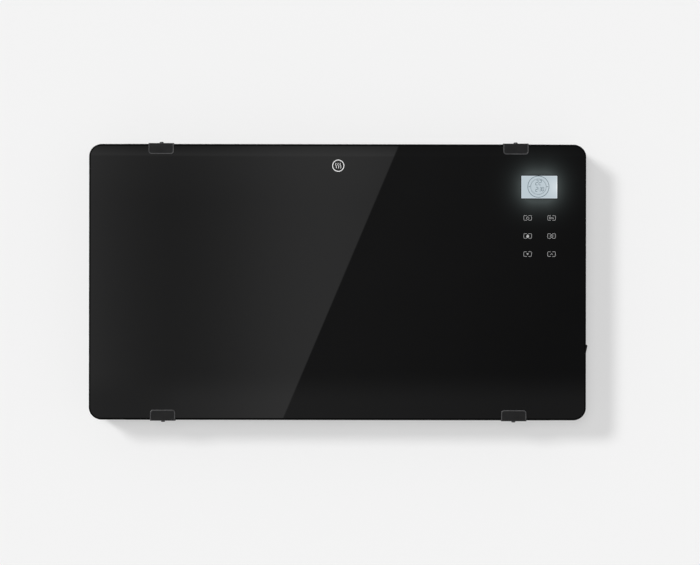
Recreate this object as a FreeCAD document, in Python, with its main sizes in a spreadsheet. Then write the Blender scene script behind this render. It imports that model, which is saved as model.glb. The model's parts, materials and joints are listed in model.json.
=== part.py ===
import FreeCAD, Part
import math
import os
import re

import Sketcher
from FreeCAD import Rotation, Vector

# A wall-hung glass convector heater, in millimetres.
# The origin is the middle of the wall bracket, on the wall. X runs right, Z up, and the room is at -Y.
# "Depth" below means the distance from the wall towards the room, so depth is -Y.

# Driving dimensions
sizes = {
    # Glass front
    "glass_width": 820,
    "glass_height": 454,
    "glass_thick": 4,
    "glass_corner": 20,
    "glass_edge": 1.5,
    # Sheet-metal casing
    "wall_gap": 20,
    "casing_depth": 58,
    "casing_side_inset": 4,
    "casing_wall": 0.8,
    "casing_corner": 16,
    "back_round": 5,
    # Stiffening beads pressed into the back
    "bead_length": 480,
    "bead_width": 14,
    "bead_slope": 3,
    "bead_height": 2,
    "bead_rise": 20,
    "bead_pitch": 130,
    # Slots at the foot of the back
    "vent_width": 4,
    "vent_height": 36,
    "vent_pitch": 12,
    "vent_span": 372,
    "vent_rise": 42,
    # Front plate and the cushions that carry the glass
    "plate_wall": 0.8,
    "plate_flange": 12,
    "cushion_thick": 2,
    "cushion_width": 10,
    "cushion_inset": 12,
    # Clearances
    "slip_fit": 0.3,
    "screw_fit": 0.15,
    "pivot_fit": 0.06,
    # Clips that hold the glass
    "clip_inset": 119,
    "clip_shift": 3,
    "clip_width": 41.6,
    "clip_thick": 1.4,
    "clip_bend": 1.8,
    "clip_lip": 18.2,
    "clip_reach": 20,
    "clip_round": 5,
    "clip_rim": 1.8,
    "clip_recess": 0.35,
    "clip_pad": 0.6,
    "clip_pad_inset": 2,
    # Clip screws
    "big_shank": 2,
    "big_length": 8,
    "big_head": 3.4,
    "big_head_height": 2.4,
    # Casing and board screws
    "small_shank": 1.5,
    "small_length": 6,
    "small_head": 2.9,
    "small_head_height": 1.8,
    "side_screw_height": 140,
    # Air grilles in the top and the bottom
    "grille_end_room": 56,
    "grille_opening": 24,
    "grille_setback": 21,
    "grille_rim": 2.5,
    "grille_lip": 1.2,
    "grille_depth": 7,
    "grille_frame": 2,
    "grille_slot": 5,
    "grille_pitch": 8,
    # Wall bracket
    "bracket_wall": 1.5,
    "bracket_spread": 180,
    "bracket_leg": 36,
    "bracket_height": 260,
    "bracket_bar": 40,
    "bracket_hole": 3.25,
    "bracket_hole_height": 110,
    "bracket_corner": 5,
    # Hooks of the bracket
    "hook_height": 85,
    "hook_arm": 9,
    "hook_finger": 4.4,
    "hook_rise": 10,
    "hook_shoulder": 6,
    "hook_side_gap": 0.75,
    "hook_seat_gap": 0.1,
    "lift_travel": 12,
    # Heating elements
    "rod_radius": 4,
    "rod_overhang": 25,
    "rod_pin_radius": 1.5,
    "rod_pin_length": 8,
    "fin_reach": 16,
    "fin_half_wall": 1,
    "fin_core": 6.5,
    "fin_bore_gap": 0.1,
    "fin_end_gap": 12,
    "element_rise": 48,
    "element_pitch": 50,
    "element_left_room": 55,
    "element_right_room": 60,
    # Brackets and bushes that carry the elements
    "stay_wall": 1,
    "stay_foot": 14,
    "stay_depth": 38,
    "stay_margin": 20,
    "bush_flange": 11,
    "bush_flange_thick": 3,
    "bush_neck": 7,
    "bush_neck_length": 5,
    # Heat reflector
    "reflector_wall": 0.8,
    "reflector_gap": 13,
    "reflector_height": 400,
    "reflector_side_room": 26,
    # Overheat cut-out
    "cutout_left_room": 331,
    "cutout_height": 168,
    "shelf_wall": 1,
    "shelf_width": 44,
    "shelf_reach": 32,
    "shelf_foot": 16,
    "cutout_radius": 8,
    "cutout_tall": 9,
    "cutout_flange": 1,
    "cutout_inset": 2,
    "fuse_radius": 2.2,
    "fuse_length": 14,
    # Control compartment
    "control_room": 155,
    "bulkhead_wall": 1,
    "bulkhead_foot": 14,
    "bulkhead_depth": 43,
    "bulkhead_end_gap": 4,
    "bulkhead_screw_height": 150,
    "grommet_radius": 10,
    "grommet_groove": 8,
    "grommet_bore": 5,
    "grommet_lip": 2,
    "grommet_rise": 122,
    # Power board, measured from the casing's right side and the bottom
    "board_right": 81,
    "board_rise": 188,
    "board_width": 100,
    "board_height": 150,
    "board_thick": 1.6,
    "board_edge": 6,
    "standoff_radius": 3.5,
    "standoff_height": 8,
    # Pieces on the power board, measured from its middle
    "relay_width": 20,
    "relay_height": 19,
    "relay_tall": 16,
    "relay_inset": 10,
    "relay_drop": 48,
    "relay_pitch": 26,
    "transformer_width": 26,
    "transformer_height": 30,
    "transformer_tall": 20,
    "transformer_right": 14,
    "transformer_drop": 30,
    "capacitor_radius": 5,
    "capacitor_tall": 17,
    "capacitor_pitch": 14,
    "capacitor_rise": 8,
    "module_width": 18,
    "module_height": 26,
    "module_tall": 3,
    "module_right": 24,
    "module_rise": 40,
    # Display and touch keys, measured from the glass's right and top edges
    "display_right": 76,
    "display_drop": 70.3,
    "lcd_width": 68,
    "lcd_height": 46,
    "lcd_gap": 0.2,
    "key_spread": 19.7,
    "key_drop": 51,
    "key_pitch": 29.8,
    "touch_radius": 5,
    "window_width": 84,
    "window_height": 172,
    "window_rise": 36,
    "window_corner": 4,
    "cradle_rim": 9,
    "cradle_wall": 1.6,
    "cradle_depth": 11,
    "cradle_flange": 2,
    "cradle_post": 3,
    "cradle_post_height": 3,
    "cradle_post_inset": 7,
    "display_board_gap": 1,
    # Rocker switch in the right side, measured up from the glass's bottom edge
    "switch_rise": 113,
    "switch_setback": 29,
    "bezel_height": 34,
    "bezel_width": 27,
    "bezel_thick": 2.5,
    "bezel_corner": 2,
    "switch_body_height": 29.8,
    "switch_body_width": 22.8,
    "switch_body_wall": 1.2,
    "switch_body_depth": 24,
    "switch_well": 17,
    "spade_width": 6,
    "spade_thick": 0.8,
    "spade_length": 8,
    "spade_pitch": 9,
    "rocker_radius": 13.3,
    "rocker_width": 19.6,
    "rocker_end": 7.7,
    "rocker_middle": 7.3,
    "rocker_foot": 5,
    "rocker_tilt": 10,
    "rocker_sink": 1,
    "rocker_edge": 0.6,
    "rocker_pin": 1.5,
    "rocker_pin_length": 0.9,
    # Cord inlet in the right side, below the switch
    "gland_rise": 68,
    "gland_bore": 3.7,
    "gland_shank": 7.5,
    "gland_flange": 10.5,
    "gland_nose": 8,
    "gland_proud": 4,
    "gland_flange_thick": 2,
    "gland_inside": 12,
    "gland_nut": 22,
    "gland_nut_thick": 5,
    # Terminal block, earth stud and room sensor
    "block_right": 75,
    "block_rise": 62,
    "block_width": 52,
    "block_height": 20,
    "block_depth": 18,
    "block_pitch": 15,
    "earth_right": 40,
    "earth_rise": 30,
    "earth_radius": 2,
    "earth_length": 12,
    "earth_nut": 7,
    "earth_nut_thick": 3.2,
    "sensor_right": 30,
    "sensor_radius": 2.5,
    "sensor_length": 14,
    "sensor_stand": 9,
    "sensor_foot": 10,
    # Inner leads
    "wire_radius": 1.5,
    "lead_start": 4,
    "lead_bend": 12,
    "lead_drop": 16,
    "sensor_wire_radius": 0.9,
    "sensor_lead_bend": 8,
    "sensor_lead_rise": 66,
    "ribbon_width": 14,
    "ribbon_thick": 1,
    "ribbon_left": 29,
    "ribbon_rise": 21,
    "ribbon_gap": 1.5,
    "ribbon_straight": 4,
    "socket_width": 6,
    "socket_tall": 7,
}

# Places worked out from the driving dimensions
casing_width = "(glass_width - 2 * casing_side_inset)"
casing_height = "(glass_height + 2 * clip_pad)"
casing_right = f"({casing_width} / 2)"
casing_top = f"({casing_height} / 2)"
inside_right = f"({casing_right} - casing_wall)"
inside_top = f"({casing_top} - casing_wall)"
back_inside = "(wall_gap + casing_wall)"
casing_front = "(wall_gap + casing_depth)"
plate_back = f"({casing_front} - plate_wall)"
flange_middle = f"({casing_front} - plate_flange / 2)"
glass_back = f"({casing_front} + cushion_thick)"
glass_front = f"({glass_back} + glass_thick)"
glass_top = "(glass_height / 2)"
clip_inside = f"({glass_front} + clip_pad)"
clip_outside = f"({clip_inside} + clip_thick)"
clip_top = f"({casing_top} + clip_thick)"
clip_x = "(glass_width / 2 - clip_inset)"
grille_width = f"({casing_width} - 2 * grille_end_room)"
grille_depth_middle = "(wall_gap + grille_setback)"
bead_middles = ("bead_rise", "(bead_rise + bead_pitch)")
vent_middle = f"(vent_rise - {casing_top})"
hook_side = "(bracket_spread + bracket_leg / 2 - bracket_wall)"
hook_slot_width = "(bracket_wall + 2 * hook_side_gap)"
hook_slot_drop = "(lift_travel + hook_arm + hook_side_gap)"
bulkhead = f"({casing_right} - control_room)"
stay_left = f"(element_left_room - {casing_right})"
stay_right = f"({bulkhead} - element_right_room)"
lower_element = f"(element_rise - {casing_top})"
upper_element = f"({lower_element} + element_pitch)"
element_heights = {"lower": lower_element, "upper": upper_element}
reflector_back = f"({plate_back} - reflector_gap - reflector_wall)"
element_depth = f"(({back_inside} + {reflector_back}) / 2)"
board_x = f"({casing_right} - board_right)"
board_z = f"(board_rise - {casing_top})"
board_back = f"({back_inside} + standoff_height)"
board_front = f"({board_back} + board_thick)"
relay_left = f"({board_x} - board_width / 2 + relay_inset)"
relay_x = f"({relay_left} + relay_width / 2)"
relay_heights = (f"({board_z} - relay_drop)", f"({board_z} - relay_drop + relay_pitch)")
display_x = "(glass_width / 2 - display_right)"
display_z = f"({glass_top} - display_drop)"
window_z = f"({display_z} - window_rise)"
cradle_back = f"({plate_back} - cradle_depth)"
cradle_floor = f"({cradle_back} + cradle_wall)"
screen_board_back = f"({cradle_floor} + cradle_post_height)"
screen_board_front = f"({screen_board_back} + board_thick)"
side_depth = "(wall_gap + switch_setback)"
switch_z = f"(switch_rise - {glass_top})"
pivot_x = f"({casing_right} - rocker_sink)"
gland_z = f"(gland_rise - {glass_top})"
block_x = f"({casing_right} - block_right)"
block_z = f"(block_rise - {casing_top})"
earth_x = f"({casing_right} - earth_right)"
earth_z = f"(earth_rise - {casing_top})"
sensor_x = f"({casing_right} - sensor_right)"
sensor_z = f"(sensor_stand + sensor_radius - {inside_top})"
sensor_back = f"({grille_depth_middle} - sensor_length / 2)"
cutout_x = f"(cutout_left_room - {casing_right})"
cutout_z = f"(cutout_height - {casing_top})"
grommet_z = f"(grommet_rise - {casing_top})"
ribbon_x = f"({display_x} - ribbon_left)"
ribbon_high = f"({window_z} - window_height / 2 + ribbon_rise)"
ribbon_low = f"({board_z} + board_height / 2 - 1.5 * socket_width)"
sensor_socket_x = f"({board_x} + board_width / 4)"
sensor_socket_z = f"({board_z} - board_height / 2 + 1.5 * socket_width)"

doc = FreeCAD.newDocument("glass_convector")
sheet = doc.addObject("Spreadsheet::Sheet", "Sizes")
for row, (name, value) in enumerate(sizes.items(), 1):
    sheet.set(f"A{row}", name)
    sheet.set(f"B{row}", str(value))
    sheet.setAlias(f"B{row}", name)
doc.recompute()

subparts = []


# Links between the sheet and the model

def bound(text):
    """The formula with each size's name turned into a reference to its cell."""
    return re.sub(r"[a-z][a-z0-9_]*", lambda word: cell_of(word.group()), text)


def cell_of(word):
    return f"Sizes.{word}" if word in sizes else word


def number(text):
    """The formula's value now."""
    return float(sheet.evalExpression(bound(text)))


def tie(thing, prop, text):
    thing.setExpression(prop, bound(text))


def place(thing, x, depth, z, turn=None):
    """Puts an object's own origin at a point, turned as given."""
    if turn is not None:
        thing.Placement = FreeCAD.Placement(Vector(), turn)
    tie(thing, "Placement.Base.x", x)
    tie(thing, "Placement.Base.y", f"-({depth})")
    tie(thing, "Placement.Base.z", z)


def keep(thing, label):
    """Marks an object as a sub-part, under the name of its file."""
    thing.Label = label
    subparts.append(thing)
    return thing


def group(label, members):
    """Several like pieces as one sub-part of separate solids."""
    compound = doc.addObject("Part::Compound", label)
    compound.Links = members
    return keep(compound, label)


# Sketches

def new_body(label):
    return doc.addObject("PartDesign::Body", label)


def draw(body, plane, offset="0"):
    """An empty sketch: XZ faces the room and is offset by depth, YZ faces right, XY faces up."""
    sketch = body.newObject("Sketcher::SketchObject", f"{body.Name}_sketch")
    support = next(f for f in body.Origin.OriginFeatures if f.Role == f"{plane}_Plane")
    sketch.AttachmentSupport = [(support, "")]
    sketch.MapMode = "FlatFace"
    tie(sketch, "AttachmentOffset.Base.z", offset)
    return sketch


def measure(sketch, kind, text, *where):
    index = sketch.addConstraint(Sketcher.Constraint(kind, *where, number(text)))
    tie(sketch, f"Constraints[{index}]", text)


def locate(sketch, x, y, geometry, point):
    measure(sketch, "DistanceX", x, -1, 1, geometry, point)
    measure(sketch, "DistanceY", y, -1, 1, geometry, point)


def polygon(sketch, points):
    corners = [Vector(number(x), number(y), 0) for x, y in points]
    following = corners[1:] + corners[:1]
    lines = [sketch.addGeometry(Part.LineSegment(a, b)) for a, b in zip(corners, following)]
    for line, after in zip(lines, lines[1:] + lines[:1]):
        sketch.addConstraint(Sketcher.Constraint("Coincident", line, 2, after, 1))
    for line, (x, y) in zip(lines, points):
        locate(sketch, x, y, line, 1)


def rectangle(sketch, x, y, width, height):
    left, right = f"({x}) - ({width}) / 2", f"({x}) + ({width}) / 2"
    low, high = f"({y}) - ({height}) / 2", f"({y}) + ({height}) / 2"
    polygon(sketch, [(left, low), (right, low), (right, high), (left, high)])


def hexagon(sketch, x, y, across):
    """A nut's outline, by the distance across its flats."""
    points = []
    for corner in range(6):
        angle = 30 + 60 * corner
        reach = f"({across}) / sqrt(3)"
        points.append((f"({x}) + {reach} * cos({angle})", f"({y}) + {reach} * sin({angle})"))
    polygon(sketch, points)


def circle(sketch, x, y, radius):
    middle = Vector(number(x), number(y), 0)
    ring = sketch.addGeometry(Part.Circle(middle, Vector(0, 0, 1), number(radius)))
    locate(sketch, x, y, ring, 3)
    measure(sketch, "Radius", radius, ring)


def arcs_and_lines(sketch, middles, radius, sweep):
    """A closed outline of equal arcs round the given middles, joined by tangent lines."""
    arcs = []
    for index, (x, y) in enumerate(middles):
        ring = Part.Circle(Vector(number(x), number(y), 0), Vector(0, 0, 1), number(radius))
        arc = Part.ArcOfCircle(ring, index * sweep, (index + 1) * sweep)
        arcs.append(sketch.addGeometry(arc))
    for arc, after in zip(arcs, arcs[1:] + arcs[:1]):
        run = Part.LineSegment(sketch.Geometry[arc].EndPoint, sketch.Geometry[after].StartPoint)
        line = sketch.addGeometry(run)
        sketch.addConstraint(Sketcher.Constraint("Tangent", arc, 2, line, 1))
        sketch.addConstraint(Sketcher.Constraint("Tangent", line, 2, after, 1))
    for arc, (x, y) in zip(arcs, middles):
        locate(sketch, x, y, arc, 3)
        measure(sketch, "Radius", radius, arc)


def rounded(sketch, x, y, width, height, radius):
    """A rectangle with round corners, by its middle."""
    right, left = f"({x}) + ({width}) / 2 - ({radius})", f"({x}) - ({width}) / 2 + ({radius})"
    high, low = f"({y}) + ({height}) / 2 - ({radius})", f"({y}) - ({height}) / 2 + ({radius})"
    middles = [(right, high), (left, high), (left, low), (right, low)]
    arcs_and_lines(sketch, middles, radius, math.pi / 2)


def upright_slot(sketch, x, y, width, height):
    """A slot with round ends, standing."""
    reach = f"(({height}) - ({width})) / 2"
    middles = [(x, f"({y}) + {reach}"), (x, f"({y}) - {reach}")]
    arcs_and_lines(sketch, middles, f"({width}) / 2", math.pi)


# Features

def pad(body, sketch, length, both_ways=False):
    feature = body.newObject("PartDesign::Pad", f"{body.Name}_pad")
    feature.Profile = sketch
    tie(feature, "Length", length)
    if both_ways:
        feature.SideType = "Symmetric"
    return feature


def pocket(body, sketch, length, both_ways=False):
    """Cuts from the sketch against the way it faces, and stops if nothing was cut."""
    doc.recompute()
    before = body.Shape.Volume
    feature = body.newObject("PartDesign::Pocket", f"{body.Name}_pocket")
    feature.Profile = sketch
    tie(feature, "Length", length)
    if both_ways:
        feature.SideType = "Symmetric"
    doc.recompute()
    if body.Shape.Volume >= before:
        raise RuntimeError(f"a pocket of {body.Label} cuts nothing")
    return feature


def repeat(body, feature, sketch, axis, length, count):
    """The same feature count times over a length, along the sketch's own axis."""
    pattern = body.newObject("PartDesign::LinearPattern", f"{body.Name}_pattern")
    pattern.Originals = [feature]
    pattern.Direction = (sketch, [axis])
    tie(pattern, "Length", length)
    pattern.Occurrences = count
    body.Tip = pattern
    return pattern


def round_edges(body, radius, chosen):
    """Rounds the body's edges that pass the test."""
    doc.recompute()
    base = body.Tip
    names = [f"Edge{index}" for index, edge in enumerate(base.Shape.Edges, 1) if chosen(edge)]
    feature = body.newObject("PartDesign::Fillet", f"{body.Name}_fillet")
    feature.Base = (base, names)
    tie(feature, "Radius", radius)
    return feature


def hollow_out(body, wall, open_at):
    """Leaves a wall of even thickness, open on the face at the given y."""
    doc.recompute()
    base = body.Tip
    names = [f"Face{index}" for index, face in enumerate(base.Shape.Faces, 1) if lies_at(face, y=open_at)]
    feature = body.newObject("PartDesign::Thickness", f"{body.Name}_hollow")
    feature.Base = (base, names)
    feature.Reversed = True
    tie(feature, "Value", wall)
    return feature


def lies_at(piece, **places):
    """True if the whole edge or face lies at the given x, y or z."""
    box = piece.BoundBox
    span = {"x": (box.XMin, box.XMax), "y": (box.YMin, box.YMax), "z": (box.ZMin, box.ZMax)}
    near = 1e-4
    return all(abs(end - value) < near for axis, value in places.items() for end in span[axis])


def runs_along(edge, axis):
    """True for a straight edge along x, y or z."""
    box = edge.BoundBox
    lengths = {"x": box.XLength, "y": box.YLength, "z": box.ZLength}
    near = 1e-4
    return lengths[axis] > near and all(length < near for name, length in lengths.items() if name != axis)


def block(label, x, depth, z, width, thick, height):
    """A box by the middle of its back face, growing towards the room."""
    box = doc.addObject("Part::Box", label)
    tie(box, "Length", width)
    tie(box, "Width", thick)
    tie(box, "Height", height)
    place(box, f"({x}) - ({width}) / 2", f"({depth}) + ({thick})", f"({z}) - ({height}) / 2")
    return box


def bar(label, x, depth, z, radius, length, along):
    """A round bar from a point along a direction."""
    cylinder = doc.addObject("Part::Cylinder", label)
    tie(cylinder, "Radius", radius)
    tie(cylinder, "Height", length)
    place(cylinder, x, depth, z, Rotation(Vector(0, 0, 1), along))
    return cylinder


def turned(label, profile, x, depth, z, along):
    """A piece turned about its own axis. The profile's points are along the axis, then out from it."""
    body = new_body(label)
    sketch = draw(body, "XZ")
    polygon(sketch, profile)
    feature = body.newObject("PartDesign::Revolution", f"{label}_turn")
    feature.Profile = sketch
    feature.ReferenceAxis = (sketch, ["H_Axis"])
    feature.Angle = 360
    place(body, x, depth, z, Rotation(Vector(1, 0, 0), along))
    return body


RIGHT, LEFT = Vector(1, 0, 0), Vector(-1, 0, 0)
UP, DOWN = Vector(0, 0, 1), Vector(0, 0, -1)
TO_ROOM, TO_WALL = Vector(0, -1, 0), Vector(0, 1, 0)


def screw(label, kind, x, depth, z, outward):
    """A pan-head screw seated at a point, with its head outward."""
    shank, length, head, height = f"{kind}_shank", f"{kind}_length", f"{kind}_head", f"{kind}_head_height"
    crown = f"{height} * 0.5"
    profile = [
        (f"-{length}", "0"),
        (f"-{length}", shank),
        ("0", shank),
        ("0", head),
        (crown, head),
        (f"{height} * 0.85", f"{head} * 0.8"),
        (height, f"{head} * 0.45"),
        (height, "0"),
    ]
    return turned(label, profile, x, depth, z, outward)


def screw_hole(kind):
    return f"({kind}_shank + screw_fit)"


def lead(label, route, radius):
    """A wire along straight runs, joined by tangent arcs as large as the runs allow."""
    corners = [Vector(number(x), -number(depth), number(z)) for x, depth, z in route]
    share = 0.45
    edges = []
    start = corners[0]
    for before, corner, after in zip(corners, corners[1:], corners[2:]):
        inward, outward = corner - before, after - corner
        half_turn = inward.getAngle(outward) / 2
        trim = share * min(inward.Length, outward.Length)
        bend = trim / math.tan(half_turn)
        inward.normalize()
        outward.normalize()
        first, last = corner - inward * trim, corner + outward * trim
        bisector = (outward - inward).normalize()
        middle = corner + bisector * (bend / math.cos(half_turn) - bend)
        edges.append(Part.LineSegment(start, first).toShape())
        edges.append(Part.Arc(first, middle, last).toShape())
        start = last
    edges.append(Part.LineSegment(start, corners[-1]).toShape())
    path = Part.Wire(edges)
    ring = Part.Wire(Part.Circle(corners[0], corners[1] - corners[0], number(radius)).toShape())
    wire = doc.addObject("Part::Feature", label)
    wire.Shape = path.makePipeShell([ring], True, False)
    return wire


# Places of the fasteners, shared by the screws and their holes

side_screw_heights = ("side_screw_height", "-side_screw_height")
clip_places = {    # left and right, at the top (1) and the bottom (-1)
    1: (f"-{clip_x}", f"({clip_x} + clip_shift)"),
    -1: (f"(clip_shift - {clip_x})", clip_x),
}
stay_foot_places = {
    "left": f"({stay_left} - stay_foot / 2)",
    "right": f"({stay_right} + stay_foot / 2)",
}
stay_screw_heights = (lower_element, upper_element)
bulkhead_screw_x = f"({bulkhead} + bulkhead_foot / 2 + bulkhead_wall)"
bulkhead_screw_heights = ("-bulkhead_screw_height", "0", "bulkhead_screw_height")
shelf_screw_z = f"({cutout_z} + shelf_foot / 2 + shelf_wall)"
shelf_screw_places = (f"({cutout_x} - shelf_width / 4)", f"({cutout_x} + shelf_width / 4)")
back_screw_places = [(x, z) for x in stay_foot_places.values() for z in stay_screw_heights]
back_screw_places += [(bulkhead_screw_x, z) for z in bulkhead_screw_heights]
back_screw_places += [(x, shelf_screw_z) for x in shelf_screw_places]


def four_corners(x, z, aside, along):
    """The corners of a rectangle by its middle and its two half-lengths."""
    signs = [(side, end) for side in (-1, 1) for end in (-1, 1)]
    return [(f"({x} + {side} * ({aside}))", f"({z} + {end} * ({along}))") for side, end in signs]


board_aside, board_along = "board_width / 2 - board_edge", "board_height / 2 - board_edge"
board_corners = four_corners(board_x, board_z, board_aside, board_along)
cradle_corners = four_corners(display_x, window_z, "window_width / 2 + cradle_rim / 2", "window_height / 4")
post_aside, post_along = "window_width / 2 - cradle_post_inset", "window_height / 2 - cradle_post_inset"
cradle_posts = four_corners(display_x, window_z, post_aside, post_along)
hook_places = four_corners("0", "0", f"{hook_side} + bracket_wall / 2", "hook_height")


# Glass front

def make_glass():
    glass = keep(new_body("glass_panel"), "glass_panel")
    sketch = draw(glass, "XZ", glass_back)
    rounded(sketch, "0", "0", "glass_width", "glass_height", "glass_corner")
    pad(glass, sketch, "glass_thick")
    faces = (-number(glass_back), -number(glass_front))
    round_edges(glass, "glass_edge", lambda edge: any(lies_at(edge, y=face) for face in faces))


def make_cushions():
    """Silicone strips between the front plate and the glass."""
    across = f"{glass_top} - cushion_inset - cushion_width / 2"
    aside = "glass_width / 2 - cushion_inset - cushion_width / 2"
    long_strip = "glass_width - 2 * cushion_inset - 4 * cushion_width"
    short_strip = "glass_height - 2 * cushion_inset - 4 * cushion_width"
    strips = []
    for index, sign in enumerate(("", "-")):
        level = ("0", casing_front, f"{sign}({across})", long_strip, "cushion_thick", "cushion_width")
        strips.append(block(f"cushion_level_{index}", *level))
        upright = (f"{sign}({aside})", casing_front, "0", "cushion_width", "cushion_thick", short_strip)
        strips.append(block(f"cushion_upright_{index}", *upright))
    group("glass_cushions", strips)


def make_clip(label, x, end):
    """One glass clip, at the top (end 1) or the bottom (end -1)."""
    clip = keep(new_body(label), label)
    lip_end = f"({clip_top} - clip_lip)"
    back = f"({casing_front} - clip_reach)"
    profile = [
        (back, casing_top),
        (back, clip_top),
        (clip_outside, clip_top),
        (clip_outside, lip_end),
        (clip_inside, lip_end),
        (clip_inside, casing_top),
    ]
    sketch = draw(clip, "YZ", x)
    polygon(sketch, [(f"-{depth}", f"{end} * {z}") for depth, z in profile])
    pad(clip, sketch, "clip_width", both_ways=True)
    bend = {"y": -number(clip_outside), "z": end * number(clip_top)}
    round_edges(clip, "clip_bend", lambda edge: lies_at(edge, **bend))
    lip_z = end * number(lip_end)
    round_edges(clip, "clip_round", lambda edge: runs_along(edge, "y") and lies_at(edge, z=lip_z))
    rear_y = -number(back)
    round_edges(clip, "clip_round", lambda edge: runs_along(edge, "z") and lies_at(edge, y=rear_y))
    panel = draw(clip, "XZ", clip_outside)
    top_of_panel = f"({clip_top} - clip_bend)"
    low_of_panel = f"({lip_end} + clip_rim)"
    middle = f"{end} * ({top_of_panel} + {low_of_panel}) / 2"
    panel_height = f"{top_of_panel} - {low_of_panel}"
    rounded(panel, x, middle, "clip_width - 2 * clip_rim", panel_height, "(clip_round - clip_rim)")
    pocket(clip, panel, "clip_recess")
    hole = draw(clip, "XY", f"{end} * ({casing_top} + clip_thick / 2)")
    circle(hole, x, f"-{flange_middle}", screw_hole("big"))
    pocket(clip, hole, "2 * clip_thick", both_ways=True)


def make_clip_pad(label, x, end):
    """The silicone lining between a clip and the glass."""
    lining = new_body(label)
    lip_end = f"({clip_top} - clip_lip + clip_pad_inset)"
    edge_top = f"({glass_top} + clip_pad)"
    profile = [
        (glass_back, glass_top),
        (glass_back, edge_top),
        (clip_inside, edge_top),
        (clip_inside, lip_end),
        (glass_front, lip_end),
        (glass_front, glass_top),
    ]
    sketch = draw(lining, "YZ", x)
    polygon(sketch, [(f"-{depth}", f"{end} * {z}") for depth, z in profile])
    pad(lining, sketch, "clip_width - 2 * clip_pad_inset", both_ways=True)
    return lining


def make_clips():
    linings, screws = [], []
    for height, end in (("top", 1), ("bottom", -1)):
        for side, x in zip(("left", "right"), clip_places[end]):
            name = f"{height}_{side}"
            make_clip(f"glass_clip_{name}", x, end)
            linings.append(make_clip_pad(f"clip_pad_{name}", x, end))
            seat = (x, flange_middle, f"{end} * {clip_top}", UP if end > 0 else DOWN)
            screws.append(screw(f"clip_screw_{name}", "big", *seat))
    group("clip_pads", linings)
    group("clip_screws", screws)


# Casing

def cut_side_openings(casing):
    """Holes in the two sides: screws on both, the switch and the cord inlet on the right."""
    for side in (-1, 1):
        holes = draw(casing, "YZ", f"{side} * ({casing_right} - casing_wall / 2)")
        for z in side_screw_heights:
            circle(holes, f"-{flange_middle}", z, screw_hole("small"))
        if side > 0:
            hole_height = "switch_body_height + 2 * slip_fit"
            rectangle(holes, f"-{side_depth}", switch_z, "switch_body_width + 2 * slip_fit", hole_height)
            circle(holes, f"-{side_depth}", gland_z, "gland_shank + screw_fit")
        pocket(casing, holes, "2 * casing_wall", both_ways=True)


def cut_end_openings(casing):
    """Holes in the top and the bottom: the air grilles and the clip screws."""
    for end in (-1, 1):
        holes = draw(casing, "XY", f"{end} * ({casing_top} - casing_wall / 2)")
        rectangle(holes, "0", f"-{grille_depth_middle}", grille_width, "grille_opening")
        for x in clip_places[end]:
            circle(holes, x, f"-{flange_middle}", screw_hole("big"))
        pocket(casing, holes, "2 * casing_wall", both_ways=True)


def press_beads(casing):
    """Two stiffening beads pressed outwards in the back."""
    for middle in bead_middles:
        outside = draw(casing, "YZ", "0")
        foot, crest = "bead_width / 2", "(bead_width / 2 - bead_slope)"
        raised = [
            ("-wall_gap", f"{middle} - {foot}"),
            ("-(wall_gap - bead_height)", f"{middle} - {crest}"),
            ("-(wall_gap - bead_height)", f"{middle} + {crest}"),
            ("-wall_gap", f"{middle} + {foot}"),
            (f"-{back_inside}", f"{middle} + {foot}"),
            (f"-{back_inside}", f"{middle} - {foot}"),
        ]
        polygon(outside, raised)
        pad(casing, outside, "bead_length", both_ways=True)
        inside = draw(casing, "YZ", "0")
        narrow = "(bead_width / 2 - casing_wall)"
        crest_inside = "(bead_width / 2 - bead_slope - casing_wall / 2)"
        hollow = [
            (f"-{back_inside}", f"{middle} - {narrow}"),
            (f"-({back_inside} - bead_height)", f"{middle} - {crest_inside}"),
            (f"-({back_inside} - bead_height)", f"{middle} + {crest_inside}"),
            (f"-{back_inside}", f"{middle} + {narrow}"),
        ]
        polygon(inside, hollow)
        pocket(casing, inside, "bead_length - 2 * casing_wall", both_ways=True)


def cut_back_openings(casing):
    """Screw holes, hook slots and air slots in the back."""
    cut_from = f"({back_inside} + casing_wall)"
    holes = draw(casing, "XZ", cut_from)
    for x, z in back_screw_places:
        circle(holes, x, z, screw_hole("small"))
    for x, z in hook_places:
        top = f"({z} + hook_seat_gap)"
        rectangle(holes, x, f"{top} - {hook_slot_drop} / 2", hook_slot_width, hook_slot_drop)
    pocket(casing, holes, "3 * casing_wall")
    vent = draw(casing, "XZ", cut_from)
    upright_slot(vent, "-vent_span / 2", vent_middle, "vent_width", "vent_height")
    first = pocket(casing, vent, "3 * casing_wall")
    count = round(number("vent_span / vent_pitch")) + 1
    repeat(casing, first, vent, "H_Axis", "vent_span", count)


def make_casing():
    casing = keep(new_body("rear_casing"), "rear_casing")
    outline = draw(casing, "XZ", "wall_gap")
    rounded(outline, "0", "0", casing_width, casing_height, "casing_corner")
    pad(casing, outline, "casing_depth")
    round_edges(casing, "back_round", lambda edge: lies_at(edge, y=-number("wall_gap")))
    hollow_out(casing, "casing_wall", -number(casing_front))
    press_beads(casing)
    cut_side_openings(casing)
    cut_end_openings(casing)
    cut_back_openings(casing)


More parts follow.
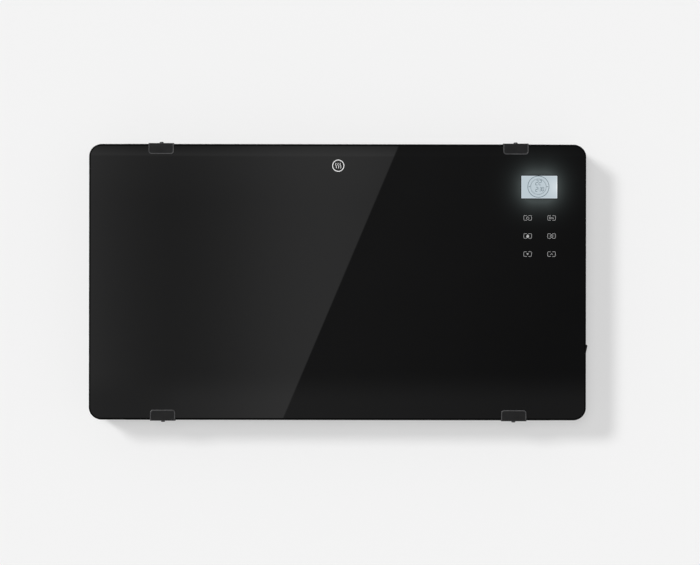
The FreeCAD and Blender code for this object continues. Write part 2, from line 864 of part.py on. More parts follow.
def make_grille(label, end):
    """The air grille in the top (end 1) or the bottom (end -1)."""
    grille = keep(new_body(label), label)
    lip = draw(grille, "XY", f"{end} * ({casing_top} + grille_lip / 2)")
    middle = f"-{grille_depth_middle}"
    lip_width, lip_depth = f"{grille_width} + 2 * grille_rim", "grille_opening + 2 * grille_rim"
    rounded(lip, "0", middle, lip_width, lip_depth, "grille_rim")
    pad(grille, lip, "grille_lip", both_ways=True)
    throat = draw(grille, "XY", f"{end} * ({casing_top} - grille_depth / 2)")
    rectangle(throat, "0", middle, f"{grille_width} - 2 * slip_fit", "grille_opening - 2 * slip_fit")
    pad(grille, throat, "grille_depth", both_ways=True)
    span = number(f"{grille_width} - 2 * grille_frame - grille_slot")
    count = math.floor(span / number("grille_pitch")) + 1
    slot = draw(grille, "XY", f"{end} * {casing_top}")
    row = f"grille_pitch * {count - 1}"
    slot_length = "grille_opening - 2 * slip_fit - 2 * grille_frame"
    rectangle(slot, f"-({row}) / 2", middle, "grille_slot", slot_length)
    first = pocket(grille, slot, "2 * grille_depth + 2 * grille_lip", both_ways=True)
    repeat(grille, first, slot, "H_Axis", row, count)


def make_front_plate():
    """The steel plate that closes the casing behind the glass, with a flange all round."""
    plate = keep(new_body("front_plate"), "front_plate")
    width = f"({casing_width} - 2 * casing_wall - 2 * slip_fit)"
    height = f"({casing_height} - 2 * casing_wall - 2 * slip_fit)"
    corner = "(casing_corner - casing_wall - slip_fit)"
    outline = draw(plate, "XZ", f"{casing_front} - plate_flange")
    rounded(outline, "0", "0", width, height, corner)
    pad(plate, outline, "plate_flange")
    hollow = draw(plate, "XZ", plate_back)
    inner_width, inner_height = f"{width} - 2 * plate_wall", f"{height} - 2 * plate_wall"
    rounded(hollow, "0", "0", inner_width, inner_height, f"{corner} - plate_wall")
    pocket(plate, hollow, "plate_flange")
    window = draw(plate, "XZ", f"{casing_front} + plate_wall")
    rounded(window, display_x, window_z, "window_width", "window_height", "window_corner")
    for x, z in cradle_corners:
        circle(window, x, z, screw_hole("small"))
    pocket(plate, window, "3 * plate_wall")
    for side in (-1, 1):
        holes = draw(plate, "YZ", f"{side} * {inside_right}")
        for z in side_screw_heights:
            circle(holes, f"-{flange_middle}", z, screw_hole("small"))
        pocket(plate, holes, "4 * plate_wall", both_ways=True)
        holes = draw(plate, "XY", f"{side} * {inside_top}")
        for x in clip_places[side]:
            circle(holes, x, f"-{flange_middle}", screw_hole("big"))
        pocket(plate, holes, "4 * plate_wall", both_ways=True)


def make_casing_screws():
    screws = []
    for index, z in enumerate(side_screw_heights):
        for name, x, outward in (("left", f"-{casing_right}", LEFT), ("right", casing_right, RIGHT)):
            screws.append(screw(f"{name}_screw_{index}", "small", x, flange_middle, z, outward))
    group("casing_screws", screws)
    back = [
        screw(f"back_screw_{index}", "small", x, "wall_gap", z, TO_WALL)
        for index, (x, z) in enumerate(back_screw_places)
    ]
    group("back_screws", back)


# Wall bracket

def make_wall_bracket():
    """An H of sheet steel on the wall, with four hooks that carry the casing."""
    bracket = keep(new_body("wall_bracket"), "wall_bracket")
    outer = "(bracket_spread + bracket_leg / 2)"
    inner = "(bracket_spread - bracket_leg / 2)"
    top, bar_top = "bracket_height / 2", "bracket_bar / 2"
    quarter = [(inner, bar_top), (inner, top), (outer, top)]
    right_top = quarter
    right_low = [(x, f"-({z})") for x, z in reversed(quarter)]
    left_low = [(f"-({x})", f"-({z})") for x, z in quarter]
    left_top = [(f"-({x})", z) for x, z in reversed(quarter)]
    plate = draw(bracket, "XZ")
    polygon(plate, right_top + right_low + left_low + left_top)
    pad(bracket, plate, "bracket_wall")
    round_edges(bracket, "bracket_corner", lambda edge: runs_along(edge, "y"))
    throat_back = "(wall_gap - slip_fit)"
    throat_front = f"({back_inside} + 2 * slip_fit)"
    tip = f"({throat_front} + hook_finger)"
    for side in (-1, 1):
        hooks = draw(bracket, "YZ", f"{side} * ({hook_side} + bracket_wall / 2)")
        for end in (-1, 1):
            seat = f"({end} * hook_height)"
            profile = [
                ("0", f"{seat} - hook_arm"),
                ("0", f"{seat} + hook_shoulder"),
                (throat_back, f"{seat} + hook_shoulder"),
                (throat_back, seat),
                (throat_front, seat),
                (throat_front, f"{seat} + hook_rise"),
                (tip, f"{seat} + hook_rise - hook_finger / 2"),
                (tip, f"{seat} - hook_arm + hook_finger / 2"),
                (f"({tip} - hook_finger / 2)", f"{seat} - hook_arm"),
            ]
            polygon(hooks, [(f"-({depth})", z) for depth, z in profile])
        pad(bracket, hooks, "bracket_wall", both_ways=True)
    holes = draw(bracket, "XZ", "2 * bracket_wall")
    for x in ("-bracket_spread", "bracket_spread"):
        for z in ("-bracket_hole_height", "bracket_hole_height"):
            circle(holes, x, z, "bracket_hole")
    pocket(bracket, holes, "3 * bracket_wall")


# Heating elements

def make_element(name, z):
    """One element: a heating rod in the bore of an aluminium profile with four slit wings."""
    fins = keep(new_body(f"{name}_element_fins"), f"{name}_element_fins")
    left = f"({stay_left} + stay_wall + fin_end_gap)"
    right = f"({stay_right} - fin_end_gap)"
    quarter = [
        ("fin_reach + fin_half_wall", "fin_reach - fin_half_wall"),
        ("fin_reach - fin_half_wall", "fin_reach + fin_half_wall"),
        ("0", "2 * fin_half_wall"),
    ]
    wings = quarter
    wings = wings + [(f"-({b})", a) for a, b in quarter]
    wings = wings + [(f"-({a})", f"-({b})") for a, b in quarter]
    wings = wings + [(b, f"-({a})") for a, b in quarter]
    profile = draw(fins, "YZ", left)
    polygon(profile, [(f"{a} - {element_depth}", f"{b} + {z}") for a, b in wings])
    pad(fins, profile, f"{right} - {left}")
    core = draw(fins, "YZ", left)
    circle(core, f"-{element_depth}", z, "fin_core")
    pad(fins, core, f"{right} - {left}")
    bore = draw(fins, "YZ", right)
    circle(bore, f"-{element_depth}", z, "rod_radius + fin_bore_gap")
    pocket(fins, bore, f"{right} - {left}")

    start = f"({stay_left} - rod_overhang)"
    length = f"({stay_right} + stay_wall + rod_overhang - {start})"
    sheath = bar(f"{name}_sheath", start, element_depth, z, "rod_radius", length, RIGHT)
    pin_start = f"({start} - rod_pin_length)"
    pin_length = f"({length} + 2 * rod_pin_length)"
    pin = bar(f"{name}_terminal_pin", pin_start, element_depth, z, "rod_pin_radius", pin_length, RIGHT)
    rod = doc.addObject("Part::MultiFuse", f"{name}_element_rod")
    rod.Shapes = [sheath, pin]
    keep(rod, f"{name}_element_rod")


def make_stays():
    """The two sheet-metal brackets that carry the elements, and their ceramic bushes."""
    bushes = []
    for name, x, side in (("left", stay_left, -1), ("right", f"({stay_right} + stay_wall)", 1)):
        stay = keep(new_body(f"element_bracket_{name}"), f"element_bracket_{name}")
        inner = f"({x} - {side} * stay_wall)"
        foot = f"({x} + {side} * stay_foot)"
        plan = draw(stay, "XY", f"{lower_element} - stay_margin")
        front, floor = f"({back_inside} + stay_depth)", f"({back_inside} + stay_wall)"
        corners = [
            (inner, back_inside),
            (inner, front),
            (x, front),
            (x, floor),
            (foot, floor),
            (foot, back_inside),
        ]
        polygon(plan, [(a, f"-{depth}") for a, depth in corners])
        pad(stay, plan, "element_pitch + 2 * stay_margin")
        holes = draw(stay, "YZ", x)
        for z in element_heights.values():
            circle(holes, f"-{element_depth}", z, "bush_neck + slip_fit")
        pocket(stay, holes, "4 * stay_wall", both_ways=True)
        rear = draw(stay, "XZ", f"{floor} + stay_wall")
        for z in stay_screw_heights:
            circle(rear, stay_foot_places[name], z, screw_hole("small"))
        pocket(stay, rear, "3 * stay_wall")
        for height, z in element_heights.items():
            profile = [
                ("-bush_neck_length", "rod_radius + fin_bore_gap"),
                ("-bush_neck_length", "bush_neck"),
                ("0", "bush_neck"),
                ("0", "bush_flange"),
                ("bush_flange_thick", "bush_flange"),
                ("bush_flange_thick", "rod_radius + fin_bore_gap"),
            ]
            outward = RIGHT if side > 0 else LEFT
            bushes.append(turned(f"bush_{height}_{name}", profile, x, element_depth, z, outward))
    group("element_bushes", bushes)


def make_reflector():
    """The aluminium sheet that keeps the heat off the glass."""
    reflector = keep(new_body("heat_reflector"), "heat_reflector")
    left = f"(reflector_side_room - {inside_right})"
    right = f"({bulkhead} - reflector_side_room)"
    front = f"({reflector_back} + reflector_wall)"
    plan = draw(reflector, "XY")
    corners = [
        (left, plate_back),
        (left, reflector_back),
        (right, reflector_back),
        (right, plate_back),
        (f"({right} - reflector_wall)", plate_back),
        (f"({right} - reflector_wall)", front),
        (f"({left} + reflector_wall)", front),
        (f"({left} + reflector_wall)", plate_back),
    ]
    polygon(plan, [(x, f"-{depth}") for x, depth in corners])
    pad(reflector, plan, "reflector_height", both_ways=True)


def make_cutout():
    """The overheat cut-out and the thermal fuse, under a small shelf on the back."""
    shelf = keep(new_body("cutout_shelf"), "cutout_shelf")
    profile = [
        (back_inside, cutout_z),
        (f"({back_inside} + shelf_reach)", cutout_z),
        (f"({back_inside} + shelf_reach)", f"({cutout_z} + shelf_wall)"),
        (f"({back_inside} + shelf_wall)", f"({cutout_z} + shelf_wall)"),
        (f"({back_inside} + shelf_wall)", f"({cutout_z} + shelf_wall + shelf_foot)"),
        (back_inside, f"({cutout_z} + shelf_wall + shelf_foot)"),
    ]
    sketch = draw(shelf, "YZ", cutout_x)
    polygon(sketch, [(f"-{depth}", z) for depth, z in profile])
    pad(shelf, sketch, "shelf_width", both_ways=True)
    holes = draw(shelf, "XZ", f"{back_inside} + 2 * shelf_wall")
    for x in shelf_screw_places:
        circle(holes, x, shelf_screw_z, screw_hole("small"))
    pocket(shelf, holes, "3 * shelf_wall")

    body_x = f"({cutout_x} - shelf_width / 2 + cutout_radius + cutout_inset)"
    profile = [
        ("0", "0"),
        ("0", "cutout_radius * 1.1"),
        ("cutout_flange", "cutout_radius * 1.1"),
        ("cutout_flange", "cutout_radius"),
        ("cutout_tall * 0.7", "cutout_radius"),
        ("cutout_tall", "cutout_radius * 0.6"),
        ("cutout_tall", "0"),
    ]
    middle = f"({back_inside} + shelf_reach / 2)"
    keep(turned("overheat_cutout", profile, body_x, middle, cutout_z, DOWN), "overheat_cutout")
    fuse_x = f"({cutout_x} + shelf_width / 2 - fuse_radius - cutout_inset)"
    fuse_depth = f"({middle} - fuse_length / 2)"
    fuse_z = f"({cutout_z} - fuse_radius)"
    fuse = bar("thermal_fuse", fuse_x, fuse_depth, fuse_z, "fuse_radius", "fuse_length", TO_ROOM)
    keep(fuse, "thermal_fuse")


# Control compartment

def make_bulkhead():
    """The partition between the hot side and the control compartment, and its grommet."""
    wall = keep(new_body("control_bulkhead"), "control_bulkhead")
    far = f"({bulkhead} + bulkhead_wall)"
    front, floor = f"({back_inside} + bulkhead_depth)", f"({back_inside} + bulkhead_wall)"
    corners = [
        (bulkhead, back_inside),
        (bulkhead, front),
        (far, front),
        (far, floor),
        (f"({far} + bulkhead_foot)", floor),
        (f"({far} + bulkhead_foot)", back_inside),
    ]
    plan = draw(wall, "XY")
    polygon(plan, [(x, f"-{depth}") for x, depth in corners])
    reach = "(grille_depth + bulkhead_end_gap + back_round)"
    pad(wall, plan, f"{casing_height} - 2 * {reach}", both_ways=True)
    hole = draw(wall, "YZ", far)
    circle(hole, f"-{element_depth}", grommet_z, "grommet_groove")
    pocket(wall, hole, "4 * bulkhead_wall", both_ways=True)
    rear = draw(wall, "XZ", f"{floor} + bulkhead_wall")
    for z in bulkhead_screw_heights:
        circle(rear, bulkhead_screw_x, z, screw_hole("small"))
    pocket(wall, rear, "3 * bulkhead_wall")

    profile = [
        ("-grommet_lip", "grommet_bore"),
        ("-grommet_lip", "grommet_radius"),
        ("0", "grommet_radius"),
        ("0", "grommet_groove"),
        ("bulkhead_wall", "grommet_groove"),
        ("bulkhead_wall", "grommet_radius"),
        ("bulkhead_wall + grommet_lip", "grommet_radius"),
        ("bulkhead_wall + grommet_lip", "grommet_bore"),
    ]
    keep(turned("bulkhead_grommet", profile, bulkhead, element_depth, grommet_z, RIGHT), "bulkhead_grommet")


def make_power_board():
    board = keep(new_body("power_board"), "power_board")
    sketch = draw(board, "XZ", board_back)
    rectangle(sketch, board_x, board_z, "board_width", "board_height")
    for x, z in board_corners:
        circle(sketch, x, z, screw_hole("small"))
    pad(board, sketch, "board_thick")
    standoffs, screws = [], []
    for index, (x, z) in enumerate(board_corners):
        profile = [
            ("0", screw_hole("small")),
            ("0", "standoff_radius"),
            ("standoff_height", "standoff_radius"),
            ("standoff_height", screw_hole("small")),
        ]
        standoffs.append(turned(f"standoff_{index}", profile, x, back_inside, z, TO_ROOM))
        screws.append(screw(f"board_screw_{index}", "small", x, board_front, z, TO_ROOM))
    group("board_standoffs", standoffs)
    group("board_screws", screws)


def on_board(label, right, up, width, tall, height):
    """A block on the power board, by its place from the board's middle."""
    return block(label, f"({board_x} + {right})", board_front, f"({board_z} + {up})", width, tall, height)


def make_board_parts():
    relays = [
        block(f"relay_{index}", relay_x, board_front, z, "relay_width", "relay_tall", "relay_height")
        for index, z in enumerate(relay_heights)
    ]
    group("relays", relays)
    size = ("transformer_width", "transformer_tall", "transformer_height")
    transformer = on_board("supply_transformer", "transformer_right", "-transformer_drop", *size)
    keep(transformer, "supply_transformer")
    capacitors = []
    for index in range(3):
        x = f"({board_x} + {index} * capacitor_pitch)"
        z = f"({board_z} + capacitor_rise)"
        size = ("capacitor_radius", "capacitor_tall")
        capacitors.append(bar(f"capacitor_{index}", x, board_front, z, *size, TO_ROOM))
    group("capacitors", capacitors)
    size = ("module_width", "module_tall", "module_height")
    keep(on_board("wireless_module", "module_right", "module_rise", *size), "wireless_module")
    size = ("ribbon_width", "socket_tall", "socket_width")
    ribbon_socket = block("ribbon_socket", ribbon_x, board_front, ribbon_low, *size)
    sensor_socket = block("sensor_socket", sensor_socket_x, board_front, sensor_socket_z, *size)
    group("board_sockets", [ribbon_socket, sensor_socket])
    size = ("block_width", "block_depth", "block_height")
    keep(block("terminal_block", block_x, back_inside, block_z, *size), "terminal_block")


def make_display():
    """Display board, screen, touch pads and the cradle that holds them behind the glass."""
    cradle = keep(new_body("display_cradle"), "display_cradle")
    flange = draw(cradle, "XZ", f"{plate_back} - cradle_flange")
    wide, tall = "(window_width + 2 * cradle_rim)", "(window_height + 2 * cradle_wall)"
    rounded(flange, display_x, window_z, wide, tall, "window_corner")
    pad(cradle, flange, "cradle_flange")
    tray = draw(cradle, "XZ", cradle_back)
    rounded(tray, display_x, window_z, "window_width + 2 * cradle_wall", tall, "window_corner")
    pad(cradle, tray, "cradle_depth")
    hollow = draw(cradle, "XZ", plate_back)
    rounded(hollow, display_x, window_z, "window_width", "window_height", "window_corner - cradle_wall")
    pocket(cradle, hollow, "cradle_depth - cradle_wall")
    posts = draw(cradle, "XZ", cradle_floor)
    for x, z in cradle_posts:
        circle(posts, x, z, "cradle_post")
    pad(cradle, posts, "cradle_post_height")
    holes = draw(cradle, "XZ", plate_back)
    for x, z in cradle_corners:
        circle(holes, x, z, screw_hole("small"))
    pocket(cradle, holes, "2 * cradle_flange")
    gate = draw(cradle, "XZ", cradle_floor)
    rectangle(gate, ribbon_x, ribbon_high, "ribbon_width + 2 * ribbon_gap", "ribbon_thick + 2 * ribbon_gap")
    pocket(cradle, gate, "2 * cradle_wall")

    board_wide = "window_width - 2 * display_board_gap"
    board_tall = "window_height - 2 * display_board_gap"
    size = (board_wide, "board_thick", board_tall)
    keep(block("display_board", display_x, screen_board_back, window_z, *size), "display_board")
    size = ("lcd_width", f"({glass_back} - lcd_gap - {screen_board_front})", "lcd_height")
    keep(block("lcd_module", display_x, screen_board_front, display_z, *size), "lcd_module")
    pads = []
    for row in range(3):
        for side in (-1, 1):
            x = f"({display_x} + {side} * key_spread)"
            z = f"({display_z} - key_drop - {row} * key_pitch)"
            size = ("touch_radius", f"({glass_back} - {screen_board_front})")
            pads.append(bar(f"touch_pad_{len(pads)}", x, screen_board_front, z, *size, TO_ROOM))
    group("touch_pads", pads)
    flange_back = f"({plate_back} - cradle_flange)"
    screws = [
        turned(f"cradle_screw_{index}", cradle_screw_profile(), x, flange_back, z, TO_WALL)
        for index, (x, z) in enumerate(cradle_corners)
    ]
    group("cradle_screws", screws)


def cradle_screw_profile():
    """A short pan-head screw that ends flush with the front plate."""
    return [
        ("-(cradle_flange + plate_wall)", "0"),
        ("-(cradle_flange + plate_wall)", "small_shank"),
        ("0", "small_shank"),
        ("0", "small_head"),
        ("small_head_height * 0.5", "small_head"),
        ("small_head_height", "small_head * 0.5"),
        ("small_head_height", "0"),
    ]


def make_sensor():
    """The room sensor on its stand over the bottom."""
    floor = f"(-{inside_top})"
    depth = f"({grille_depth_middle} - sensor_foot / 2)"
    size = ("sensor_foot", "sensor_foot", "sensor_stand")
    keep(block("sensor_stand", sensor_x, depth, f"({floor} + sensor_stand / 2)", *size), "sensor_stand")
    size = ("sensor_radius", "sensor_length")
    keep(bar("room_sensor", sensor_x, sensor_back, sensor_z, *size, TO_ROOM), "room_sensor")


# Switch and cord inlet in the right side

def make_switch():
    housing = keep(new_body("switch_housing"), "switch_housing")
    bezel = draw(housing, "YZ", casing_right)
    middle = f"-{side_depth}"
    rounded(bezel, middle, switch_z, "bezel_width", "bezel_height", "bezel_corner")
    pad(housing, bezel, "bezel_thick")
    body = draw(housing, "YZ", f"{casing_right} - switch_body_depth")
    rectangle(body, middle, switch_z, "switch_body_width", "switch_body_height")
    pad(housing, body, "switch_body_depth")
    well = draw(housing, "YZ", f"{casing_right} + bezel_thick")
    wide, tall = "(switch_body_width - 2 * switch_body_wall)", "(switch_body_height - 2 * switch_body_wall)"
    rectangle(well, middle, switch_z, wide, tall)
    pocket(housing, well, "switch_well")
    pivot = draw(housing, "XZ", side_depth)
    circle(pivot, pivot_x, switch_z, "rocker_pin + pivot_fit")
    pocket(housing, pivot, "rocker_width + 2 * slip_fit + 3 * rocker_pin_length", both_ways=True)

    spades = []
    base = f"({casing_right} - switch_body_depth - spade_length / 2)"
    for index in (-1, 0, 1):
        z = f"({switch_z} + {index} * spade_pitch)"
        back = f"({side_depth} - spade_width / 2)"
        size = ("spade_length", "spade_width", "spade_thick")
        spades.append(block(f"spade_{index + 1}", base, back, z, *size))
    group("switch_terminals", spades)


def make_rocker():
    """The rocker, drawn level about its pivot and then tipped, with its upper end out."""
    rocker = keep(new_body("switch_rocker"), "switch_rocker")
    drum = draw(rocker, "XZ")
    circle(drum, "0", "0", "rocker_radius")
    pad(rocker, drum, "rocker_width", both_ways=True)
    past = "2 * rocker_radius"
    far = "rocker_middle + 2 * (rocker_end - rocker_middle)"
    dish = draw(rocker, "XZ")
    upper, lower = [(far, past), (past, past)], [(past, f"-({past})"), (far, f"-({past})")]
    polygon(dish, [("rocker_middle", "0")] + upper + lower)
    pocket(rocker, dish, "2 * rocker_width", both_ways=True)
    under = draw(rocker, "XZ")
    rectangle(under, f"-(rocker_foot + {past})", "0", f"2 * {past}", f"2 * {past}")
    pocket(rocker, under, "2 * rocker_width", both_ways=True)
    half_width = number("rocker_width") / 2
    face = number("rocker_middle") - number("rocker_edge")

    def on_face_side(edge):
        return edge.BoundBox.XMin > face and any(lies_at(edge, y=y) for y in (half_width, -half_width))

    round_edges(rocker, "rocker_edge", on_face_side)
    pins = draw(rocker, "XZ")
    circle(pins, "0", "0", "rocker_pin")
    pad(rocker, pins, "rocker_width + 2 * slip_fit + 2 * rocker_pin_length", both_ways=True)
    place(rocker, pivot_x, side_depth, switch_z, Rotation(Vector(0, 1, 0), number("rocker_tilt")))
    tie(rocker, "Placement.Rotation.Angle", "rocker_tilt")


def make_gland():
    """The cord inlet: a gland through the right side and its nut, free for a cord."""
    nose = "(gland_flange_thick + (gland_proud - gland_flange_thick) / 2)"
    profile = [
        ("-(casing_wall + gland_inside)", "gland_bore"),
        ("-(casing_wall + gland_inside)", "gland_shank"),
        ("0", "gland_shank"),
        ("0", "gland_flange"),
        ("gland_flange_thick", "gland_flange"),
        (nose, "gland_nose"),
        ("gland_proud", "gland_nose * 0.85"),
        ("gland_proud", "gland_bore"),
    ]
    keep(turned("cord_gland", profile, casing_right, side_depth, gland_z, RIGHT), "cord_gland")
    nut = keep(new_body("gland_nut"), "gland_nut")
    sketch = draw(nut, "YZ", f"{inside_right} - gland_nut_thick")
    hexagon(sketch, f"-{side_depth}", gland_z, "gland_nut")
    circle(sketch, f"-{side_depth}", gland_z, "gland_shank + screw_fit")
    pad(nut, sketch, "gland_nut_thick")


def make_earth():
    size = ("earth_radius", "earth_length")
    keep(bar("earth_stud", earth_x, back_inside, earth_z, *size, TO_ROOM), "earth_stud")
    nut = keep(new_body("earth_nut"), "earth_nut")
    sketch = draw(nut, "XZ", back_inside)
    hexagon(sketch, earth_x, earth_z, "earth_nut")
    circle(sketch, earth_x, earth_z, "earth_radius + screw_fit")
    pad(nut, sketch, "earth_nut_thick")


# Inner leads

def make_element_leads():
    """The leads of the two elements through the grommet, and the link at their far ends."""
    pin_end = f"({stay_right} + stay_wall + rod_overhang + rod_pin_length)"
    link_end = f"({stay_left} - rod_overhang - rod_pin_length)"
    feeds = []
    for index, (name, z) in enumerate(element_heights.items()):
        depth = f"({element_depth} + {2 * index - 1} * 1.5 * wire_radius)"
        rise_x = f"({bulkhead} + bulkhead_foot)"
        route = [
            (pin_end, element_depth, z),
            (f"({pin_end} + lead_start)", element_depth, z),
            (f"({pin_end} + lead_bend)", depth, z),
            (f"({pin_end} + lead_bend)", depth, grommet_z),
            (rise_x, depth, grommet_z),
            (rise_x, depth, relay_heights[index]),
            (relay_left, depth, relay_heights[index]),
        ]
        feeds.append(lead(f"{name}_feed", route, "wire_radius"))
    group("element_leads", feeds)
    link = [
        (link_end, element_depth, upper_element),
        (f"({link_end} - lead_bend)", element_depth, upper_element),
        (f"({link_end} - lead_bend)", element_depth, lower_element),
        (link_end, element_depth, lower_element),
    ]
    keep(lead("element_link", link, "wire_radius"), "element_link")


def make_supply_leads():
    """The leads between the switch, the terminal block, the power board and the earth stud."""
    spade_end = f"({casing_right} - switch_body_depth - spade_length)"
    block_top, block_low = f"({block_z} + block_height / 2)", f"({block_z} - block_height / 2)"
    entry = f"({back_inside} + block_depth / 2)"
    leads = []
    for index in (0, 1):
        z = f"({switch_z} + {index - 1} * spade_pitch)"
        x = f"({block_x} + {1 - index} * block_pitch)"
        route = [
            (spade_end, side_depth, z),
            (f"({spade_end} - lead_bend - {index} * 2 * wire_radius)", side_depth, z),
            (x, entry, f"({block_top} + lead_drop)"),
            (x, entry, block_top),
        ]
        leads.append(lead(f"switch_lead_{index}", route, "wire_radius"))
    feed_x = f"({block_x} - block_pitch)"
    relay_low = f"({relay_heights[0]} - relay_height / 2)"
    relay_depth = f"({board_front} + relay_tall / 2)"
    route = [
        (feed_x, entry, block_top),
        (feed_x, entry, f"({block_top} + lead_drop)"),
        (relay_x, relay_depth, f"({relay_low} - lead_drop)"),
        (relay_x, relay_depth, relay_low),
    ]
    leads.append(lead("board_lead", route, "wire_radius"))
    ring_depth = f"({back_inside} + earth_nut_thick + wire_radius)"
    landing = f"({block_x} + block_pitch / 2)"
    route = [
        (f"({earth_x} - earth_radius)", ring_depth, earth_z),
        (f"({earth_x} - earth_radius - lead_bend)", ring_depth, earth_z),
        (landing, entry, f"({block_low} - lead_bend)"),
        (landing, entry, block_low),
    ]
    leads.append(lead("earth_lead", route, "wire_radius"))
    group("supply_leads", leads)


def make_signal_leads():
    """The ribbon between the two boards and the lead of the room sensor."""
    ribbon = keep(new_body("display_ribbon"), "display_ribbon")
    half = "ribbon_thick / 2"
    socket_front = f"({board_front} + socket_tall)"
    bends = [
        (screen_board_back, ribbon_high),
        (f"({cradle_back} - ribbon_straight)", ribbon_high),
        (f"({socket_front} + ribbon_straight)", ribbon_low),
        (socket_front, ribbon_low),
    ]
    sketch = draw(ribbon, "YZ", ribbon_x)
    outline = [(f"-{depth}", f"{z} + {half}") for depth, z in bends]
    outline += [(f"-{depth}", f"{z} - {half}") for depth, z in reversed(bends)]
    polygon(sketch, outline)
    pad(ribbon, sketch, "ribbon_width", both_ways=True)

    socket_low = f"({sensor_socket_z} - socket_width / 2)"
    socket_depth = f"({board_front} + socket_tall / 2)"
    behind = f"({sensor_back} - sensor_lead_bend)"
    route = [
        (sensor_x, sensor_back, sensor_z),
        (sensor_x, behind, sensor_z),
        (sensor_x, behind, f"({sensor_z} + sensor_lead_rise)"),
        (sensor_socket_x, socket_depth, f"({socket_low} - lead_drop)"),
        (sensor_socket_x, socket_depth, socket_low),
    ]
    keep(lead("sensor_lead", route, "sensor_wire_radius"), "sensor_lead")


makers = (
    make_glass,
    make_cushions,
    make_clips,
    make_casing,
    make_front_plate,
    make_casing_screws,
    make_wall_bracket,
    make_stays,
    make_reflector,
    make_cutout,
    make_bulkhead,
    make_power_board,
    make_board_parts,
    make_display,
    make_sensor,
    make_switch,
    make_rocker,
    make_gland,
    make_earth,
    make_element_leads,
    make_supply_leads,
    make_signal_leads,
)
for make in makers:
    make()
make_grille("outlet_grille", 1)
make_grille("intake_grille", -1)
for name, z in element_heights.items():
    make_element(name, z)

doc.recompute()
for thing in doc.Objects:
    if {"Invalid", "Error"} & set(thing.State):
        raise RuntimeError(f"{thing.Label} failed to build")
for subpart in subparts:
    if subpart.Shape.isNull() or not subpart.Shape.isValid() or not subpart.Shape.Solids:
        raise RuntimeError(f"{subpart.Label} isn't a valid solid")

os.makedirs("parts", exist_ok=True)
for subpart in subparts:
    subpart.Shape.exportStep(os.path.join("parts", f"{subpart.Label}.step"))
print(f"{len(subparts)} sub-parts, {sum(len(s.Shape.Solids) for s in subparts)} solids")
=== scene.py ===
import json
import math

import bmesh
import bpy
from mathutils import Matrix, Vector


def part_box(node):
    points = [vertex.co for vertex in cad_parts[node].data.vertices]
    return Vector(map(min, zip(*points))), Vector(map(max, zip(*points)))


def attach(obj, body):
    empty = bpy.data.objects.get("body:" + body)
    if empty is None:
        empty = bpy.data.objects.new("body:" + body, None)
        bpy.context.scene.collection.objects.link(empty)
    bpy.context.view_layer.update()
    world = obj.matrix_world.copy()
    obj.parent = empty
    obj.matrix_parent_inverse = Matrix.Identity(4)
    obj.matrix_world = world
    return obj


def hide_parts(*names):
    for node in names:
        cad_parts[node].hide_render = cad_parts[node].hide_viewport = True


# Wall-hung glass convector heater: finishes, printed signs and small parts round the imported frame.
# Lengths are metres, "mm" turns millimetres into them. The room is at -Y and the wall at y = 0.

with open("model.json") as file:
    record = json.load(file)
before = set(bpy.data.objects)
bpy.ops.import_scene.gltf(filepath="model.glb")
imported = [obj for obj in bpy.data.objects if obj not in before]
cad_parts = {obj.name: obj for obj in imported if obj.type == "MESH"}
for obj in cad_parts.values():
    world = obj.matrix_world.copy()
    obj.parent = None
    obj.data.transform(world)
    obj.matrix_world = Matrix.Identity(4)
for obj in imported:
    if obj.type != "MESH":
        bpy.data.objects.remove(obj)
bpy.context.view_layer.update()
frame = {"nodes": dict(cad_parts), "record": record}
nodes = frame["nodes"]
mm = 0.001
scene = bpy.context.scene
glassLow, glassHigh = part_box("glass_panel")
glassFront = glassLow.y
casingLow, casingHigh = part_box("rear_casing")
slotOf = {part["node"]: part["material_slot"] for part in frame["record"]["subparts"]}
print("frame loaded:", len(nodes), "nodes")


def middleOf(low, high, *axes):
    return [(low[axis] + high[axis]) / 2 for axis in axes]


def halfOf(low, high, *axes):
    return [(high[axis] - low[axis]) / 2 for axis in axes]


def newObject(name, data):
    made = bpy.data.objects.new(name, data)
    scene.collection.objects.link(made)
    return made


# Camera

photoView = {
    "width": 700,             # the photograph's frame and the glass's edges in it, in pixels
    "height": 565,
    "glassLeft": 88.9,
    "glassRight": 586.1,
    "glassTop": 144.7,
    "glassBottom": 419.6,
    "tilt": 0.09,             # degrees that the picture leans to the right
    "distance": 5.2,          # camera to glass
    "sensor": 36.0,
    "clipEnd": 100,
}
perPixel = (glassHigh.x - glassLow.x) / (photoView["glassRight"] - photoView["glassLeft"])


def onGlass(px, py):
    # a pixel of the photograph as x and z on the glass
    x, z = middleOf(glassLow, glassHigh, 0, 2)
    across = px - (photoView["glassLeft"] + photoView["glassRight"]) / 2
    down = py - (photoView["glassTop"] + photoView["glassBottom"]) / 2
    return x + across * perPixel, z - down * perPixel


def makeCamera():
    camera = newObject("camera", bpy.data.cameras.new("camera"))
    x, z = onGlass(photoView["width"] / 2, photoView["height"] / 2)
    camera.location = (x, glassFront - photoView["distance"], z)
    camera.rotation_euler = (math.pi / 2, -math.radians(photoView["tilt"]), 0)
    camera.data.sensor_width = photoView["sensor"]
    camera.data.lens = photoView["sensor"] * photoView["distance"] / (photoView["width"] * perPixel)
    camera.data.clip_end = photoView["clipEnd"]
    scene.camera = camera
    return camera


camera = makeCamera()
print("camera: lens", round(camera.data.lens, 1))


# Shader helpers

noiseSpan = (0.3, 0.7)        # where a noise's values mostly lie
driftDetail = 3.0
grainMix = {"drift": 0.6, "grain": 0.4, "shades": (0.35, 0.65)}    # shares of both, and the blend's ends


def put(tree, kind, inputs=None, **settings):
    made = tree.nodes.new(kind)
    for key, value in settings.items():
        setattr(made, key, value)
    for key, value in (inputs or {}).items():
        if isinstance(value, bpy.types.NodeSocket):
            tree.links.new(value, made.inputs[key])
        else:
            made.inputs[key].default_value = value
    return made


